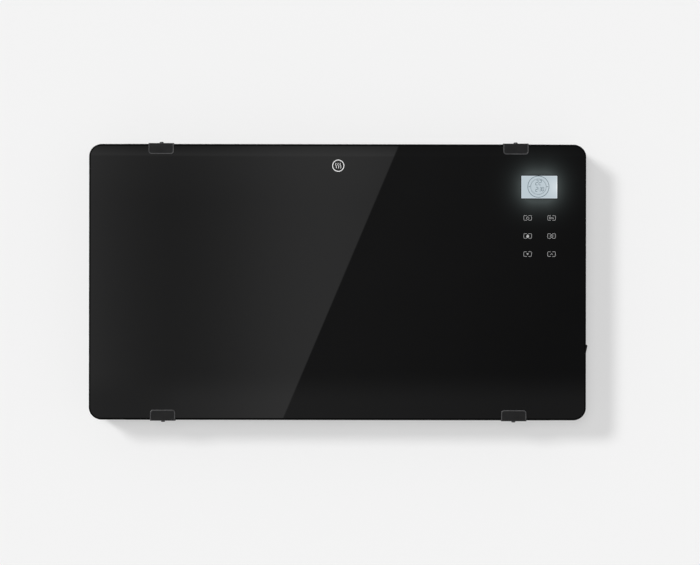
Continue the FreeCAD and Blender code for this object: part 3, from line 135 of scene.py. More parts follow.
def first(tree, kind, inputs=None, **settings):
    # a new node's first output
    return put(tree, kind, inputs, **settings).outputs[0]


def newMaterial(name, **fixed):
    # fixed holds the shader's own plain values
    material = bpy.data.materials.new(name)
    material.use_nodes = True
    tree = material.node_tree
    shader = tree.nodes["Principled BSDF"]
    for key, value in fixed.items():
        shader.inputs[key.replace("_", " ")].default_value = value
    return material, tree, shader


def feed(tree, shader, **sockets):
    for key, value in sockets.items():
        tree.links.new(value, shader.inputs[key.replace("_", " ")])


def places(tree, scale=(1, 1, 1)):
    source = put(tree, "ShaderNodeTexCoord").outputs["Object"]
    return first(tree, "ShaderNodeMapping", {"Vector": source, "Scale": scale})


def noise(tree, where, scale, detail=2.0, rough=0.5):
    inputs = {"Vector": where, "Scale": scale, "Detail": detail, "Roughness": rough}
    return first(tree, "ShaderNodeTexNoise", inputs)


def calc(tree, operation, a, b=0.0, clamp=False):
    return first(tree, "ShaderNodeMath", {0: a, 1: b}, operation=operation, use_clamp=clamp)


def spread(tree, value, fromLow, fromHigh, toLow, toHigh, smooth=False):
    kind = "SMOOTHSTEP" if smooth else "LINEAR"
    inputs = {0: value, 1: fromLow, 2: fromHigh, 3: toLow, 4: toHigh}
    return first(tree, "ShaderNodeMapRange", inputs, interpolation_type=kind)


def course(tree, value, points):
    # straight runs from point to point, level outside them
    total = points[0][1]
    for (start, low), (end, high) in zip(points, points[1:]):
        total = calc(tree, "ADD", total, spread(tree, value, start, end, 0.0, high - low))
    return total


def blendColour(tree, share, *colours):
    # the two colours are sockets or three numbers each, and the node takes them at 6 and 7
    inputs = {0: share}
    for place, colour in zip((6, 7), colours):
        inputs[place] = colour if isinstance(colour, bpy.types.NodeSocket) else (*colour, 1)
    return put(tree, "ShaderNodeMix", inputs, data_type="RGBA").outputs[2]


def deepened(tree, share, tint):
    # from a dark tint to twice its strength
    return blendColour(tree, share, tint, [2 * part for part in tint])


def roughBy(tree, value, look, span=noiseSpan):
    return spread(tree, value, *span, look["smooth"], look["rough"])


def bump(tree, height, look):
    inputs = {"Height": height, "Strength": look["bump"], "Distance": look["depth"]}
    return first(tree, "ShaderNodeBump", inputs)


def grainFinish(name, look):
    # a colour that drifts between two shades, with a fine grain in roughness and height
    fixed = {"Metallic": look.get("metal", 0.0), "Specular_IOR_Level": look.get("shine", 0.5)}
    material, tree, shader = newMaterial(name, **fixed)
    where = places(tree, look.get("stretch", (1, 1, 1)))
    drift = noise(tree, where, look["driftScale"], driftDetail)
    grain = noise(tree, where, look["grainScale"])
    both = calc(tree, "ADD", calc(tree, "MULTIPLY", drift, grainMix["drift"]),
                calc(tree, "MULTIPLY", grain, grainMix["grain"]))
    share = spread(tree, both, *grainMix["shades"], 0.0, 1.0)
    colour = blendColour(tree, share, look["dark"], look["light"])
    feed(tree, shader, Base_Color=colour, Roughness=roughBy(tree, both, look), Normal=bump(tree, grain, look))
    return material


def boxDistance(tree, where, middle, half, corner):
    # distance to a rounded rectangle in x and z, below zero inside
    parts = put(tree, "ShaderNodeSeparateXYZ", {0: where})
    reaches = []
    for axis, centre, size in ((0, middle[0], half[0]), (2, middle[1], half[1])):
        away = calc(tree, "ABSOLUTE", calc(tree, "SUBTRACT", parts.outputs[axis], centre))
        reaches.append(calc(tree, "SUBTRACT", away, size - corner))
    outside = [calc(tree, "POWER", calc(tree, "MAXIMUM", reach, 0.0), 2.0) for reach in reaches]
    length = calc(tree, "SQRT", calc(tree, "ADD", outside[0], outside[1]))
    inside = calc(tree, "MINIMUM", calc(tree, "MAXIMUM", reaches[0], reaches[1]), 0.0)
    return calc(tree, "SUBTRACT", calc(tree, "ADD", length, inside), corner)


# Mesh helpers

leastCorner = 0.4 * mm        # of an inset outline
weld = 0.001 * mm
softEdge = {"flat": 0.5, "limit": 40, "weight": 100}    # degrees, degrees and the pull of large faces


def smoothen(mesh, sharp=30):
    mesh.polygons.foreach_set("use_smooth", [True] * len(mesh.polygons))
    mesh.set_sharp_from_angle(angle=math.radians(sharp))


def newMesh(name, bm):
    bmesh.ops.recalc_face_normals(bm, faces=bm.faces)
    mesh = bpy.data.meshes.new(name)
    bm.to_mesh(mesh)
    bm.free()
    smoothen(mesh)
    return mesh


def settle(piece, materials, slot, body="heater", replaced=()):
    if materials and len(piece.data.materials):
        piece.data.materials.clear()
    for material in materials:
        piece.data.materials.append(material)
    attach(piece, body)
    if replaced:
        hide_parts(*replaced)


def makePiece(name, bm, materials, *where, **more):
    settle(newObject(name, newMesh(name, bm)), materials, *where, **more)


def fixShape(piece):
    # turns what the modifiers give into the piece's plain mesh
    made = bpy.data.meshes.new_from_object(piece.evaluated_get(bpy.context.evaluated_depsgraph_get()))
    piece.modifiers.clear()
    piece.data = made
    return piece


def roundedOutline(halfWide, halfHigh, corner, steps):
    # a rounded rectangle round the middle, anticlockwise
    points = []
    for quarter, (sideX, sideY) in enumerate(((1, 1), (-1, 1), (-1, -1), (1, -1))):
        for step in range(steps + 1):
            angle = math.pi / 2 * (quarter + step / steps)
            x = sideX * (halfWide - corner) + corner * math.cos(angle)
            points.append((x, sideY * (halfHigh - corner) + corner * math.sin(angle)))
    return points


def outlineRings(profile, half, corner, steps, place):
    # a rounded outline for each inset and level of a profile, put in space by place
    rings = []
    for inset, level in profile:
        bend = max(corner - inset, leastCorner)
        outline = roundedOutline(half[0] - inset, half[1] - inset, bend, steps)
        rings.append([place(a, b, level) for a, b in outline])
    return rings


def addRings(bm, rings, closed=False, capped=False, paint=None):
    # bridges one ring of points to the next, paint gives a material index for each gap
    made = [[bm.verts.new(point) for point in ring] for ring in rings]
    pairs = list(zip(made, made[1:]))
    if closed:
        pairs.append((made[-1], made[0]))
    for gap, (one, other) in enumerate(pairs):
        for i in range(len(one)):
            j = (i + 1) % len(one)
            face = bm.faces.new((one[i], one[j], other[j], other[i]))
            face.material_index = paint[gap] if paint else 0
    if capped:
        bm.faces.new(made[0])
        bm.faces.new(made[-1])


def addBand(bm, oneSide, otherSide, back, front, closed):
    # a flat strip between two lines in x and z, as thick as back to front
    layers = []
    for side in (oneSide, otherSide):
        for y in (back, front):
            layers.append([bm.verts.new((x, y, z)) for x, z in side])
    oneBack, oneFront, otherBack, otherFront = layers
    walls = ((oneBack, oneFront), (otherBack, otherFront), (oneBack, otherBack), (oneFront, otherFront))
    count = len(oneSide)
    for i in range(count if closed else count - 1):
        j = (i + 1) % count
        for a, b in walls:
            bm.faces.new((a[i], a[j], b[j], b[i]))
    if not closed:
        for i in (0, -1):
            bm.faces.new((oneBack[i], oneFront[i], otherFront[i], otherBack[i]))


def addStroke(bm, path, width, back, front, closed=False):
    sides = ([], [])
    points = [Vector(point) for point in path]
    for i, point in enumerate(points):
        before = points[i - 1] if closed or i else point
        after = points[(i + 1) % len(points)] if closed or i < len(points) - 1 else point
        ways = [way.normalized() for way in (point - before, after - point) if way.length > 0]
        normals = [Vector((-way.y, way.x)) for way in ways]
        across = sum(normals, Vector((0, 0))).normalized()
        reach = width / 2 / max(across.dot(normals[0]), 0.5)     # at a sharp corner twice as far at most
        sides[0].append(point + across * reach)
        sides[1].append(point - across * reach)
    addBand(bm, sides[0], sides[1], back, front, closed)


def addPlate(bm, loop, back, front):
    rear, fore = [[bm.verts.new((x, y, z)) for x, z in loop] for y in (back, front)]
    bm.faces.new(rear)
    bm.faces.new(fore)
    for i in range(len(loop)):
        j = (i + 1) % len(loop)
        bm.faces.new((rear[i], rear[j], fore[j], fore[i]))


def arc(x, z, radius, start, end, steps):
    angles = [math.radians(start + (end - start) * i / steps) for i in range(steps + 1)]
    return [(x + radius * math.cos(a), z + radius * math.sin(a)) for a in angles]


def circle(x, z, radius, steps):
    return arc(x, z, radius, 0, 360, steps)[:-1]


def rounded(loop, rounds=3):
    # cuts a quarter off each side's ends again and again, a point given twice stays sharp
    for turn in range(rounds):
        cut = []
        for a, b in zip(loop, loop[1:] + loop[:1]):
            cut += [(a[0] + (b[0] - a[0]) * share, a[1] + (b[1] - a[1]) * share) for share in (0.25, 0.75)]
        loop = cut
    return [point for i, point in enumerate(loop) if math.dist(point, loop[i - 1]) > 1e-6]


def mergedCopy(node):
    # a CAD node's mesh with its loose triangles joined
    bm = bmesh.new()
    bm.from_mesh(nodes[node].data)
    bmesh.ops.remove_doubles(bm, verts=bm.verts, dist=weld)
    return bm


def islands(node):
    # the boxes of a node's separate solids
    bm = mergedCopy(node)
    boxes, seen = [], set()
    for start in bm.verts:
        if start in seen:
            continue
        seen.add(start)
        waiting, members = [start], []
        while waiting:
            vert = waiting.pop()
            members.append(vert.co.copy())
            for edge in vert.link_edges:
                other = edge.other_vert(vert)
                if other not in seen:
                    seen.add(other)
                    waiting.append(other)
        boxes.append([Vector(end(point[i] for point in members) for i in range(3)) for end in (min, max)])
    bm.free()
    return boxes


def softened(name, node, width, segments=2):
    # a copy of a CAD node with its sharp edges rounded and its flat faces shaded level
    bm = mergedCopy(node)
    bmesh.ops.dissolve_limit(bm, angle_limit=math.radians(softEdge["flat"]), verts=bm.verts, edges=bm.edges)
    mesh = bpy.data.meshes.new(name)
    bm.to_mesh(mesh)
    bm.free()
    for attribute in ("custom_normal", "UVMap"):
        if attribute in mesh.attributes:
            mesh.attributes.remove(mesh.attributes[attribute])
    mesh.polygons.foreach_set("use_smooth", [True] * len(mesh.polygons))
    piece = newObject(name, mesh)
    bevel = piece.modifiers.new("edges", "BEVEL")
    bevel.width = width
    bevel.segments = segments
    bevel.limit_method = "ANGLE"
    bevel.angle_limit = math.radians(softEdge["limit"])
    level = piece.modifiers.new("level", "WEIGHTED_NORMAL")
    level.weight = softEdge["weight"]
    return fixShape(piece)


# Geometry node helpers

upright = (math.pi / 2, 0, 0)


def newTree(name, **inputs):
    tree = bpy.data.node_groups.new(name, "GeometryNodeTree")
    tree.interface.new_socket("Geometry", in_out="INPUT", socket_type="NodeSocketGeometry")
    for label, kind in {**inputs, "Finish": "Material"}.items():
        tree.interface.new_socket(label, in_out="INPUT", socket_type="NodeSocket" + kind)
    tree.interface.new_socket("Geometry", in_out="OUTPUT", socket_type="NodeSocketGeometry")
    return tree, tree.nodes.new("NodeGroupInput").outputs


def vector(tree, **parts):
    return first(tree, "ShaderNodeCombineXYZ", parts)


def pointRow(tree, given):
    # points at the given pitch along x, round the given middle
    span = calc(tree, "MULTIPLY", calc(tree, "SUBTRACT", given["Count"], 1.0), given["Pitch"])
    start, step = vector(tree, X=calc(tree, "MULTIPLY", span, -0.5)), vector(tree, X=given["Pitch"])
    inputs = {"Count": given["Count"], "Start Location": start, "Offset": step}
    line = first(tree, "GeometryNodeMeshLine", inputs)
    return first(tree, "GeometryNodeTransform", {"Geometry": line, "Translation": given["Middle"]})


def sweep(tree, path, profile, capped=True):
    inputs = {"Curve": path, "Profile Curve": profile, "Fill Caps": capped}
    return first(tree, "GeometryNodeCurveToMesh", inputs)


def filleted(tree, given, radius, count):
    size = {"Width": given["Wide"], "Height": given["Tall"]}
    box = first(tree, "GeometryNodeCurvePrimitiveQuadrilateral", size)
    inputs = {"Curve": box, "Radius": radius, "Count": count}
    return first(tree, "GeometryNodeFilletCurve", inputs, mode="POLY")


def closeTree(tree, geometry, given):
    real = first(tree, "GeometryNodeRealizeInstances", {0: geometry})
    painted = first(tree, "GeometryNodeSetMaterial", {"Geometry": real, "Material": given["Finish"]})
    put(tree, "NodeGroupOutput", {0: painted})
    return tree


def plantTree(tree, points, piece, given, **turn):
    # closes a tree with one piece on each point
    row = {"Points": points, "Instance": piece, **turn}
    return closeTree(tree, first(tree, "GeometryNodeInstanceOnPoints", row), given)


def grow(name, tree, values, seeds=None):
    # runs a tree on a mesh of seed points and keeps the result as a plain mesh
    piece = newObject(name, seeds or bpy.data.meshes.new(name))
    modifier = piece.modifiers.new("grow", "NODES")
    modifier.node_group = tree
    for item in tree.interface.items_tree:
        if item.in_out == "INPUT" and item.name in values:
            modifier[item.identifier] = values[item.name]
    return fixShape(piece)


# Glass front

glassLook = {
    "corner": 20 * mm,
    "cornerSteps": 14,
    "edge": 1.5 * mm,
    "edgeSteps": 6,
    "band": 1.1 * mm,              # flat border inside the rounded edge, dark with it as painted shade
    "support": 2 * mm,             # flat ring that keeps the face's shading level
    "tint": (0.0008, 0.0008, 0.0009),
    "smooth": 0.004,
    "rough": 0.010,
    "ior": 1.5,
    "smear": (7.0, 4.0, 0.6),      # scale, detail and roughness of its faint smears
    "smearStretch": (1, 1, 2.2),
    "glowTint": (0.82, 1.0, 0.99),
    "glowPeak": 0.060,
    "glowCore": (19.5 * mm, 15 * mm),    # half size of the light behind the glass
    "glowCorner": 12 * mm,
    "glowFade": 11.2 * mm,
    "glowGain": 0.15,
    "glowGap": (0.7 * mm, 2.2 * mm),     # darker line round the screen, from and to
    "gapShare": 0.3,
}
# edge and border barely reflect, which paints a dark shade line round the glass
edgeLook = {"tint": (0.0006, 0.0007, 0.0007), "grain": 1800.0, "smooth": 0.28, "rough": 0.42, "shine": 0.03}
screenLook = {
    "width": 59.1 * mm,
    "height": 37.2 * mm,
    "corner": 0.5 * mm,
    "cornerSteps": 4,
    "shift": (-1.4 * mm, 0.6 * mm),    # from the middle of the module behind the glass
    "thick": 0.12 * mm,
    "rim": 1.5 * mm,
    "rimCore": 0.6,                    # share of the rim before it fades
    "face": (0.470, 0.550, 0.600),
    "faceLamp": (0.630, 0.700, 0.740),
    "lampReach": 26 * mm,              # the backlight shines in from the middle of the right side
    "lampFall": 1.6,
    "driftScale": 60.0,
    "driftShare": 0.2,
    "rimTint": (0.560, 0.630, 0.690),
    "rimLamp": (0.95, 0.98, 1.0),
    "dark": (0.02, 0.02, 0.02),        # what daylight shows of the screen itself
    "light": (0.03, 0.03, 0.03),
    "roughness": 0.03,
    "inkThick": 0.03 * mm,
    "dial": (-1.5 * mm, 0.6 * mm),     # middle of the dial from the screen's middle
    "ring": 17.5 * mm,                 # radius of the dial's outer line
    "ringSteps": 96,
    "ringLine": 0.9 * mm,
    "tickRadius": 12.8 * mm,
    "ticks": 40,
    "tick": (0.9 * mm, 0.03 * mm, 1.4 * mm),
    "divider": (13.2 * mm, 16.2 * mm),
    "digitLine": 0.8 * mm,
    "digitGap": 0.12,                  # of the line
    "slant": 0.12,
    "colon": (0.6 * mm, -5.3 * mm, -2.7 * mm),
    "dot": 0.45 * mm,
    "dotSteps": 12,
}
# figure, middle from the dial's middle, width and height
screenFigures = (
    ("2", (-2.5 * mm, 6.8 * mm), 3.6 * mm, 8.0 * mm),
    ("2", (2.9 * mm, 6.8 * mm), 3.6 * mm, 8.0 * mm),
    ("2", (-2.8 * mm, -4.4 * mm), 3.4 * mm, 7.2 * mm),
    ("3", (3.4 * mm, -4.0 * mm), 2.7 * mm, 6.2 * mm),
    ("0", (7.4 * mm, -4.0 * mm), 2.7 * mm, 6.2 * mm),
)
screenHalf = (screenLook["width"] / 2, screenLook["height"] / 2)
screenMiddle = [a + b for a, b in zip(middleOf(*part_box("lcd_module"), 0, 2), screenLook["shift"])]


def screenDistance(tree, where):
    return boxDistance(tree, where, screenMiddle, screenHalf, screenLook["corner"])


def polishedGlass():
    material, tree, shader = newMaterial("polished black glass", IOR=glassLook["ior"], Emission_Strength=1.0)
    where = places(tree)
    smear = noise(tree, places(tree, glassLook["smearStretch"]), *glassLook["smear"])
    away = boxDistance(tree, where, screenMiddle, glassLook["glowCore"], glassLook["glowCorner"])
    fade = calc(tree, "POWER", math.e, calc(tree, "DIVIDE", away, -glassLook["glowFade"]))
    glow = calc(tree, "MINIMUM", calc(tree, "MULTIPLY", fade, glassLook["glowGain"]), glassLook["glowPeak"])
    outside = screenDistance(tree, where)
    gap = spread(tree, outside, *glassLook["glowGap"], glassLook["gapShare"], 1.0, smooth=True)
    glowing = blendColour(tree, calc(tree, "MULTIPLY", glow, gap), (0, 0, 0), glassLook["glowTint"])
    feed(tree, shader, Base_Color=deepened(tree, smear, glassLook["tint"]))
    feed(tree, shader, Roughness=roughBy(tree, smear, glassLook), Emission_Color=glowing)
    return material


def paintedShadeEdge():
    # painted shade: a black that hardly reflects, for the dark outline of the glass
    material, tree, shader = newMaterial("glass edge painted shade", Specular_IOR_Level=edgeLook["shine"])
    grain = noise(tree, places(tree), edgeLook["grain"])
    shade = deepened(tree, grain, edgeLook["tint"])
    feed(tree, shader, Base_Color=shade, Roughness=roughBy(tree, grain, edgeLook))
    return material


def makeGlass():
    edge, steps = glassLook["edge"], glassLook["edgeSteps"]
    inner = edge + glassLook["band"]
    support = inner + glassLook["support"]
    profile = [(support, glassHigh.y), (inner, glassHigh.y)]
    for way, y in ((1, glassHigh.y - edge), (-1, glassLow.y + edge)):
        for step in range(steps + 1):
            angle = math.pi / 2 * step / steps
            turn = angle if way > 0 else math.pi / 2 - angle
            profile.append((edge * (1 - math.sin(turn)), y + way * edge * math.cos(turn)))
    profile += [(inner, glassLow.y), (support, glassLow.y)]
    rings = outlineRings(profile, halfOf(glassLow, glassHigh, 0, 2), glassLook["corner"],
                         glassLook["cornerSteps"], lambda x, z, y: (x, y, z))
    bm = bmesh.new()
    addRings(bm, rings, capped=True, paint=[0] + [1] * (len(rings) - 3) + [0])
    makePiece("front_glass", bm, [polishedGlass(), paintedShadeEdge()], "black_glass", replaced=["glass_panel"])


makeGlass()
print("glass made")


# Screen and its dial

# ink with light of its own, "body" in the looks is the share that daylight shows: screen figures and keys are
# lit from behind, the mark and rocker prints get a painted glow
inkLook = {"grain": 900.0, "dull": 0.86, "roughness": 0.12}
dialInk = {"tint": (0.10, 0.14, 0.165), "light": 1.0, "body": 0.2}
segmentsOf = {"0": "abcdef", "2": "abged", "3": "abgcd"}


def litScreen():
    fixed = {"Roughness": screenLook["roughness"], "Emission_Strength": 1.0}
    material, tree, shader = newMaterial("lit screen", **fixed)
    where = places(tree)
    inside = calc(tree, "MULTIPLY", screenDistance(tree, where), -1.0)
    rimEnds = (screenLook["rim"] * screenLook["rimCore"], screenLook["rim"])
    rim = spread(tree, inside, *rimEnds, 1.0, 0.0, smooth=True)
    cloud = noise(tree, where, screenLook["driftScale"], driftDetail)
    drift = calc(tree, "MULTIPLY", cloud, screenLook["driftShare"])
    lampPlace = (screenMiddle[0] + screenHalf[0], glassFront, screenMiddle[1])
    away = put(tree, "ShaderNodeVectorMath", {0: where, 1: lampPlace}, operation="DISTANCE").outputs["Value"]
    near = spread(tree, away, 0.0, screenLook["lampReach"], 1.0, 0.0)
    lamp = calc(tree, "POWER", near, screenLook["lampFall"])
    lit = calc(tree, "ADD", lamp, drift, clamp=True)
    face = blendColour(tree, lit, screenLook["face"], screenLook["faceLamp"])
    edge = blendColour(tree, lamp, screenLook["rimTint"], screenLook["rimLamp"])
    feed(tree, shader, Base_Color=blendColour(tree, drift, screenLook["dark"], screenLook["light"]))
    feed(tree, shader, Emission_Color=blendColour(tree, rim, face, edge))
    return material


def glowInk(name, look):
    fixed = {"Roughness": inkLook["roughness"], "Emission_Strength": look["light"]}
    material, tree, shader = newMaterial(name, **fixed)
    drift = noise(tree, places(tree), inkLook["grain"])
    for socket, share in (("Base_Color", look["body"]), ("Emission_Color", 1.0)):
        dull, pale = [[level * share * part for part in look["tint"]] for level in (inkLook["dull"], 1.0)]
        feed(tree, shader, **{socket: blendColour(tree, drift, dull, pale)})
    return material


def addDigit(bm, figure, middle, wide, high, back, front):
    line = screenLook["digitLine"]
    gap = screenLook["digitGap"] * line
    ends = {
        "a": ((0, high), (wide, high)), "g": ((0, high / 2), (wide, high / 2)), "d": ((0, 0), (wide, 0)),
        "b": ((wide, high / 2), (wide, high)), "c": ((wide, 0), (wide, high / 2)),
        "e": ((0, 0), (0, high / 2)), "f": ((0, high / 2), (0, high)),
    }
    left, low = middle[0] - wide / 2, middle[1] - high / 2
    for key in segmentsOf[figure]:
        start, end = Vector(ends[key][0]), Vector(ends[key][1])
        along = (end - start).normalized()
        across = Vector((-along.y, along.x)) * line / 2
        start, end = start + along * gap, end - along * gap
        tip = along * line / 2
        loop = [start, start + tip + across, end - tip + across]
        loop += [end, end - tip - across, start + tip - across]
        slanted = [(left + p.x + screenLook["slant"] * (p.y - high / 2), low + p.y) for p in loop]
        addPlate(bm, slanted, back, front)


def tickTree():
    tree, given = newTree("dial ticks", Count="Int", Radius="Float", Tick="Vector", Middle="Vector")
    ring = first(tree, "GeometryNodeMeshCircle", {"Vertices": given["Count"], "Radius": given["Radius"]})
    bar = first(tree, "GeometryNodeMeshCube", {"Size": given["Tick"]})
    step = calc(tree, "DIVIDE", first(tree, "GeometryNodeInputIndex"), given["Count"])
    turn = calc(tree, "ADD", calc(tree, "MULTIPLY", step, -2 * math.pi), math.pi / 2)
    standing = {"Geometry": ring, "Rotation": upright, "Translation": given["Middle"]}
    points = first(tree, "GeometryNodeTransform", standing)
    return plantTree(tree, points, bar, given, Rotation=vector(tree, Y=turn))


def makeScreen():
    back, front = glassFront, glassFront - screenLook["thick"]
    inkFront = front - screenLook["inkThick"]
    x, z = screenMiddle
    bm = bmesh.new()
    outline = roundedOutline(*screenHalf, screenLook["corner"], screenLook["cornerSteps"])
    addPlate(bm, [(x + a, z + b) for a, b in outline], back, front)
    makePiece("screen_face", bm, [litScreen()], "screen")

    ink = glowInk("screen ink", dialInk)
    x, z = x + screenLook["dial"][0], z + screenLook["dial"][1]
    bm = bmesh.new()
    ring = circle(x, z, screenLook["ring"], screenLook["ringSteps"])
    addStroke(bm, ring, screenLook["ringLine"], front, inkFront, closed=True)
    for side in (-1, 1):
        line = [(x + side * reach, z) for reach in screenLook["divider"]]
        addStroke(bm, line, screenLook["ringLine"], front, inkFront)
    for figure, (right, up), wide, high in screenFigures:
        addDigit(bm, figure, (x + right, z + up), wide, high, front, inkFront)
    for up in screenLook["colon"][1:]:
        dot = circle(x + screenLook["colon"][0], z + up, screenLook["dot"], screenLook["dotSteps"])
        addPlate(bm, dot, front, inkFront)
    makePiece("screen_figures", bm, [ink], "screen")

    values = {
        "Count": screenLook["ticks"],
        "Radius": screenLook["tickRadius"],
        "Tick": screenLook["tick"],
        "Middle": (x, (front + inkFront) / 2, z),
        "Finish": ink,
    }
    settle(grow("screen_ticks", tickTree(), values), [ink], "screen")


makeScreen()
print("screen made")


# Touch keys and the round mark

keyLook = {
    "width": 13.3 * mm,
    "height": 8.2 * mm,
    "shift": (-0.8 * mm, 0.7 * mm),    # from the middle of the pad behind the glass
    "corner": 1.9 * mm,
    "cornerSteps": 8,
    "gap": 2.8 * mm,
    "line": 0.52 * mm,
    "signLine": 0.52 * mm,
    "thick": 0.06 * mm,
    "tint": (0.55, 0.55, 0.55),
    "light": 0.58,
    "body": 0.35,
}
flameOutline = [                       # millimetres
    (0.3, 3.3), (0.3, 3.3), (0.7, 1.9), (2.1, 0.7), (2.3, -1.4), (1.2, -2.9), (-1.2, -2.9), (-2.3, -1.5),
    (-2.0, 0.3), (-1.2, 1.3), (-1.2, 1.3), (-0.8, 0.7), (-0.3, 1.6),
]


def keyFrame(x, z, side):
    wide, high, corner = keyLook["width"] / 2, keyLook["height"] / 2, keyLook["corner"]
    line, steps = keyLook["line"] / 2, keyLook["cornerSteps"]
    path = [(keyLook["gap"] / 2, high - line)]
    path += arc(wide - corner, high - corner, corner - line, 90, 0, steps)
    path += arc(wide - corner, corner - high, corner - line, 0, -90, steps)
    path.append((keyLook["gap"] / 2, line - high))
    return [(x + side * a, z + b) for a, b in path]


def keySigns(x, z):
    # closed lines, open lines and filled shapes of the six keys, row by row, drawn in millimetres
    def at(*points):
        return [(x + a * mm, z + b * mm) for a, b in points]

    loops = {1: [circle(x - 2.3 * mm, z, 1.5 * mm, 24)], 3: [circle(x, z, 2.4 * mm, 32)]}
    lines = {
        0: [arc(x, z - 0.3 * mm, 2.1 * mm, 125, 415, 24), at((0, 0.4), (0, 2.6))],
        1: [at((-0.8, 0), (3.6, 0)), at((2.0, 0), (2.0, -1.6)), at((3.2, 0), (3.2, -1.6))],
        3: [at((0, 1.5), (0, 0), (1.1, -0.7))],
        5: [at((-1.8, -1.0), (0, 1.1), (1.8, -1.0))],
    }
    shapes = {2: [at(*rounded(flameOutline))], 4: [at((-1.9, 1.1), (0, -1.5), (1.9, 1.1))]}
    return loops, lines, shapes


def makeKeys():
    back, front = glassFront, glassFront - keyLook["thick"]
    middles = [middleOf(low, high, 0, 2) for low, high in islands("touch_pads")]
    middles.sort(key=lambda point: (-round(point[1], 3), point[0]))
    ink = glowInk("key print", keyLook)
    frames, signs = bmesh.new(), bmesh.new()
    for index, (x, z) in enumerate(middles):
        x, z = x + keyLook["shift"][0], z + keyLook["shift"][1]
        for side in (-1, 1):
            addStroke(frames, keyFrame(x, z, side), keyLook["line"], back, front)
        loops, lines, shapes = keySigns(x, z)
        for paths, closed in ((loops, True), (lines, False)):
            for path in paths.get(index, []):
                addStroke(signs, path, keyLook["signLine"], back, front, closed)
        for loop in shapes.get(index, []):
            addPlate(signs, loop, back, front)
    makePiece("key_frames", frames, [ink], "white_plastic")
    makePiece("key_signs", signs, [ink], "white_plastic")


markLook = {
    "middle": (338.1, 165.7),      # pixel of its centre in the photograph
    "radius": 9.3 * mm,
    "steps": 72,
    "line": 1.25 * mm,
    "waveLine": 0.8 * mm,
    "waveHigh": 8.6 * mm,
    "waveSway": 0.8 * mm,
    "wavePitch": 3.6 * mm,
    "waveSteps": 24,
    "thick": 0.06 * mm,
    "tint": (0.80, 0.80, 0.80),
    # painted glow: the mark has no lamp behind it
    "light": 0.55,
    "body": 0.6,
}


def makeMark():
    back, front = glassFront, glassFront - markLook["thick"]
    x, z = onGlass(*markLook["middle"])
    bm = bmesh.new()
    ring = circle(x, z, markLook["radius"], markLook["steps"])
    addStroke(bm, ring, markLook["line"], back, front, closed=True)
    for row in (-1, 0, 1):
        path = []
        for step in range(markLook["waveSteps"] + 1):
            along = step / markLook["waveSteps"]
            sway = markLook["waveSway"] * math.sin(2 * math.pi * along)
            path.append((x + row * markLook["wavePitch"] + sway, z + markLook["waveHigh"] * (along - 0.5)))
        addStroke(bm, path, markLook["waveLine"], back, front)
    makePiece("heat_mark", bm, [glowInk("mark print painted glow", markLook)], "white_plastic")


makeKeys()
makeMark()
print("keys and mark made")


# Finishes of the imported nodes

powderCoat = {
    "dark": (0.023, 0.023, 0.024), "light": (0.033, 0.033, 0.034), "driftScale": 60.0, "grainScale": 1500.0,
    "smooth": 0.52, "rough": 0.68, "bump": 0.4, "depth": 0.08 * mm,
}
blackPlastic = {
    "dark": (0.013, 0.013, 0.014), "light": (0.021, 0.021, 0.022), "driftScale": 14.0, "grainScale": 900.0,
    "smooth": 0.38, "rough": 0.52, "bump": 0.2, "depth": 0.06 * mm,
}
glossPlastic = {
    "dark": (0.008, 0.008, 0.009), "light": (0.013, 0.013, 0.014), "driftScale": 30.0, "grainScale": 1200.0,
    "smooth": 0.30, "rough": 0.42, "bump": 0.06, "depth": 0.03 * mm, "shine": 0.35,
}
blackZinc = {
    "dark": (0.045, 0.045, 0.048), "light": (0.085, 0.085, 0.088), "driftScale": 160.0, "grainScale": 1600.0,
    "smooth": 0.30, "rough": 0.46, "bump": 0.15, "depth": 0.03 * mm, "metal": 1.0,
}
rolledAluminium = {
    "dark": (0.62, 0.63, 0.64), "light": (0.78, 0.79, 0.80), "driftScale": 6.0, "grainScale": 700.0,
    "smooth": 0.26, "rough": 0.42, "bump": 0.1, "depth": 0.04 * mm, "metal": 1.0, "stretch": (0.06, 1, 1),
}
siliconeRubber = {
    "dark": (0.022, 0.022, 0.022), "light": (0.036, 0.036, 0.036), "driftScale": 40.0, "grainScale": 800.0,
    "smooth": 0.70, "rough": 0.86, "bump": 0.2, "depth": 0.05 * mm, "shine": 0.3,
}
stainedTube = {
    "dark": (0.20, 0.15, 0.11), "light": (0.46, 0.42, 0.38), "driftScale": 18.0, "grainScale": 600.0,
    "smooth": 0.30, "rough": 0.50, "bump": 0.12, "depth": 0.04 * mm, "metal": 1.0, "stretch": (0.4, 1, 1),
}
steatite = {
    "dark": (0.66, 0.63, 0.56), "light": (0.80, 0.78, 0.72), "driftScale": 90.0, "grainScale": 900.0,
    "smooth": 0.32, "rough": 0.48, "bump": 0.1, "depth": 0.04 * mm,
}
mouldedCase = {
    "dark": (0.030, 0.030, 0.035), "light": (0.055, 0.055, 0.062), "driftScale": 60.0, "grainScale": 1100.0,
    "smooth": 0.42, "rough": 0.60, "bump": 0.15, "depth": 0.04 * mm,
}
paleNylon = {
    "dark": (0.64, 0.63, 0.59), "light": (0.76, 0.75, 0.72), "driftScale": 50.0, "grainScale": 900.0,
    "smooth": 0.40, "rough": 0.56, "bump": 0.12, "depth": 0.04 * mm,
}
turnedBrass = {
    "dark": (0.62, 0.44, 0.18), "light": (0.80, 0.62, 0.32), "driftScale": 120.0, "grainScale": 1500.0,
    "smooth": 0.24, "rough": 0.38, "bump": 0.1, "depth": 0.03 * mm, "metal": 1.0,
}
redCover = {
    "dark": (0.26, 0.035, 0.03), "light": (0.38, 0.06, 0.05), "driftScale": 30.0, "grainScale": 900.0,
    "smooth": 0.48, "rough": 0.66, "bump": 0.15, "depth": 0.04 * mm,
}
screenCase = {
    "dark": (0.50, 0.56, 0.60), "light": (0.62, 0.70, 0.74), "driftScale": 40.0, "grainScale": 700.0,
    "smooth": 0.20, "rough": 0.30, "bump": 0.05, "depth": 0.03 * mm,
}
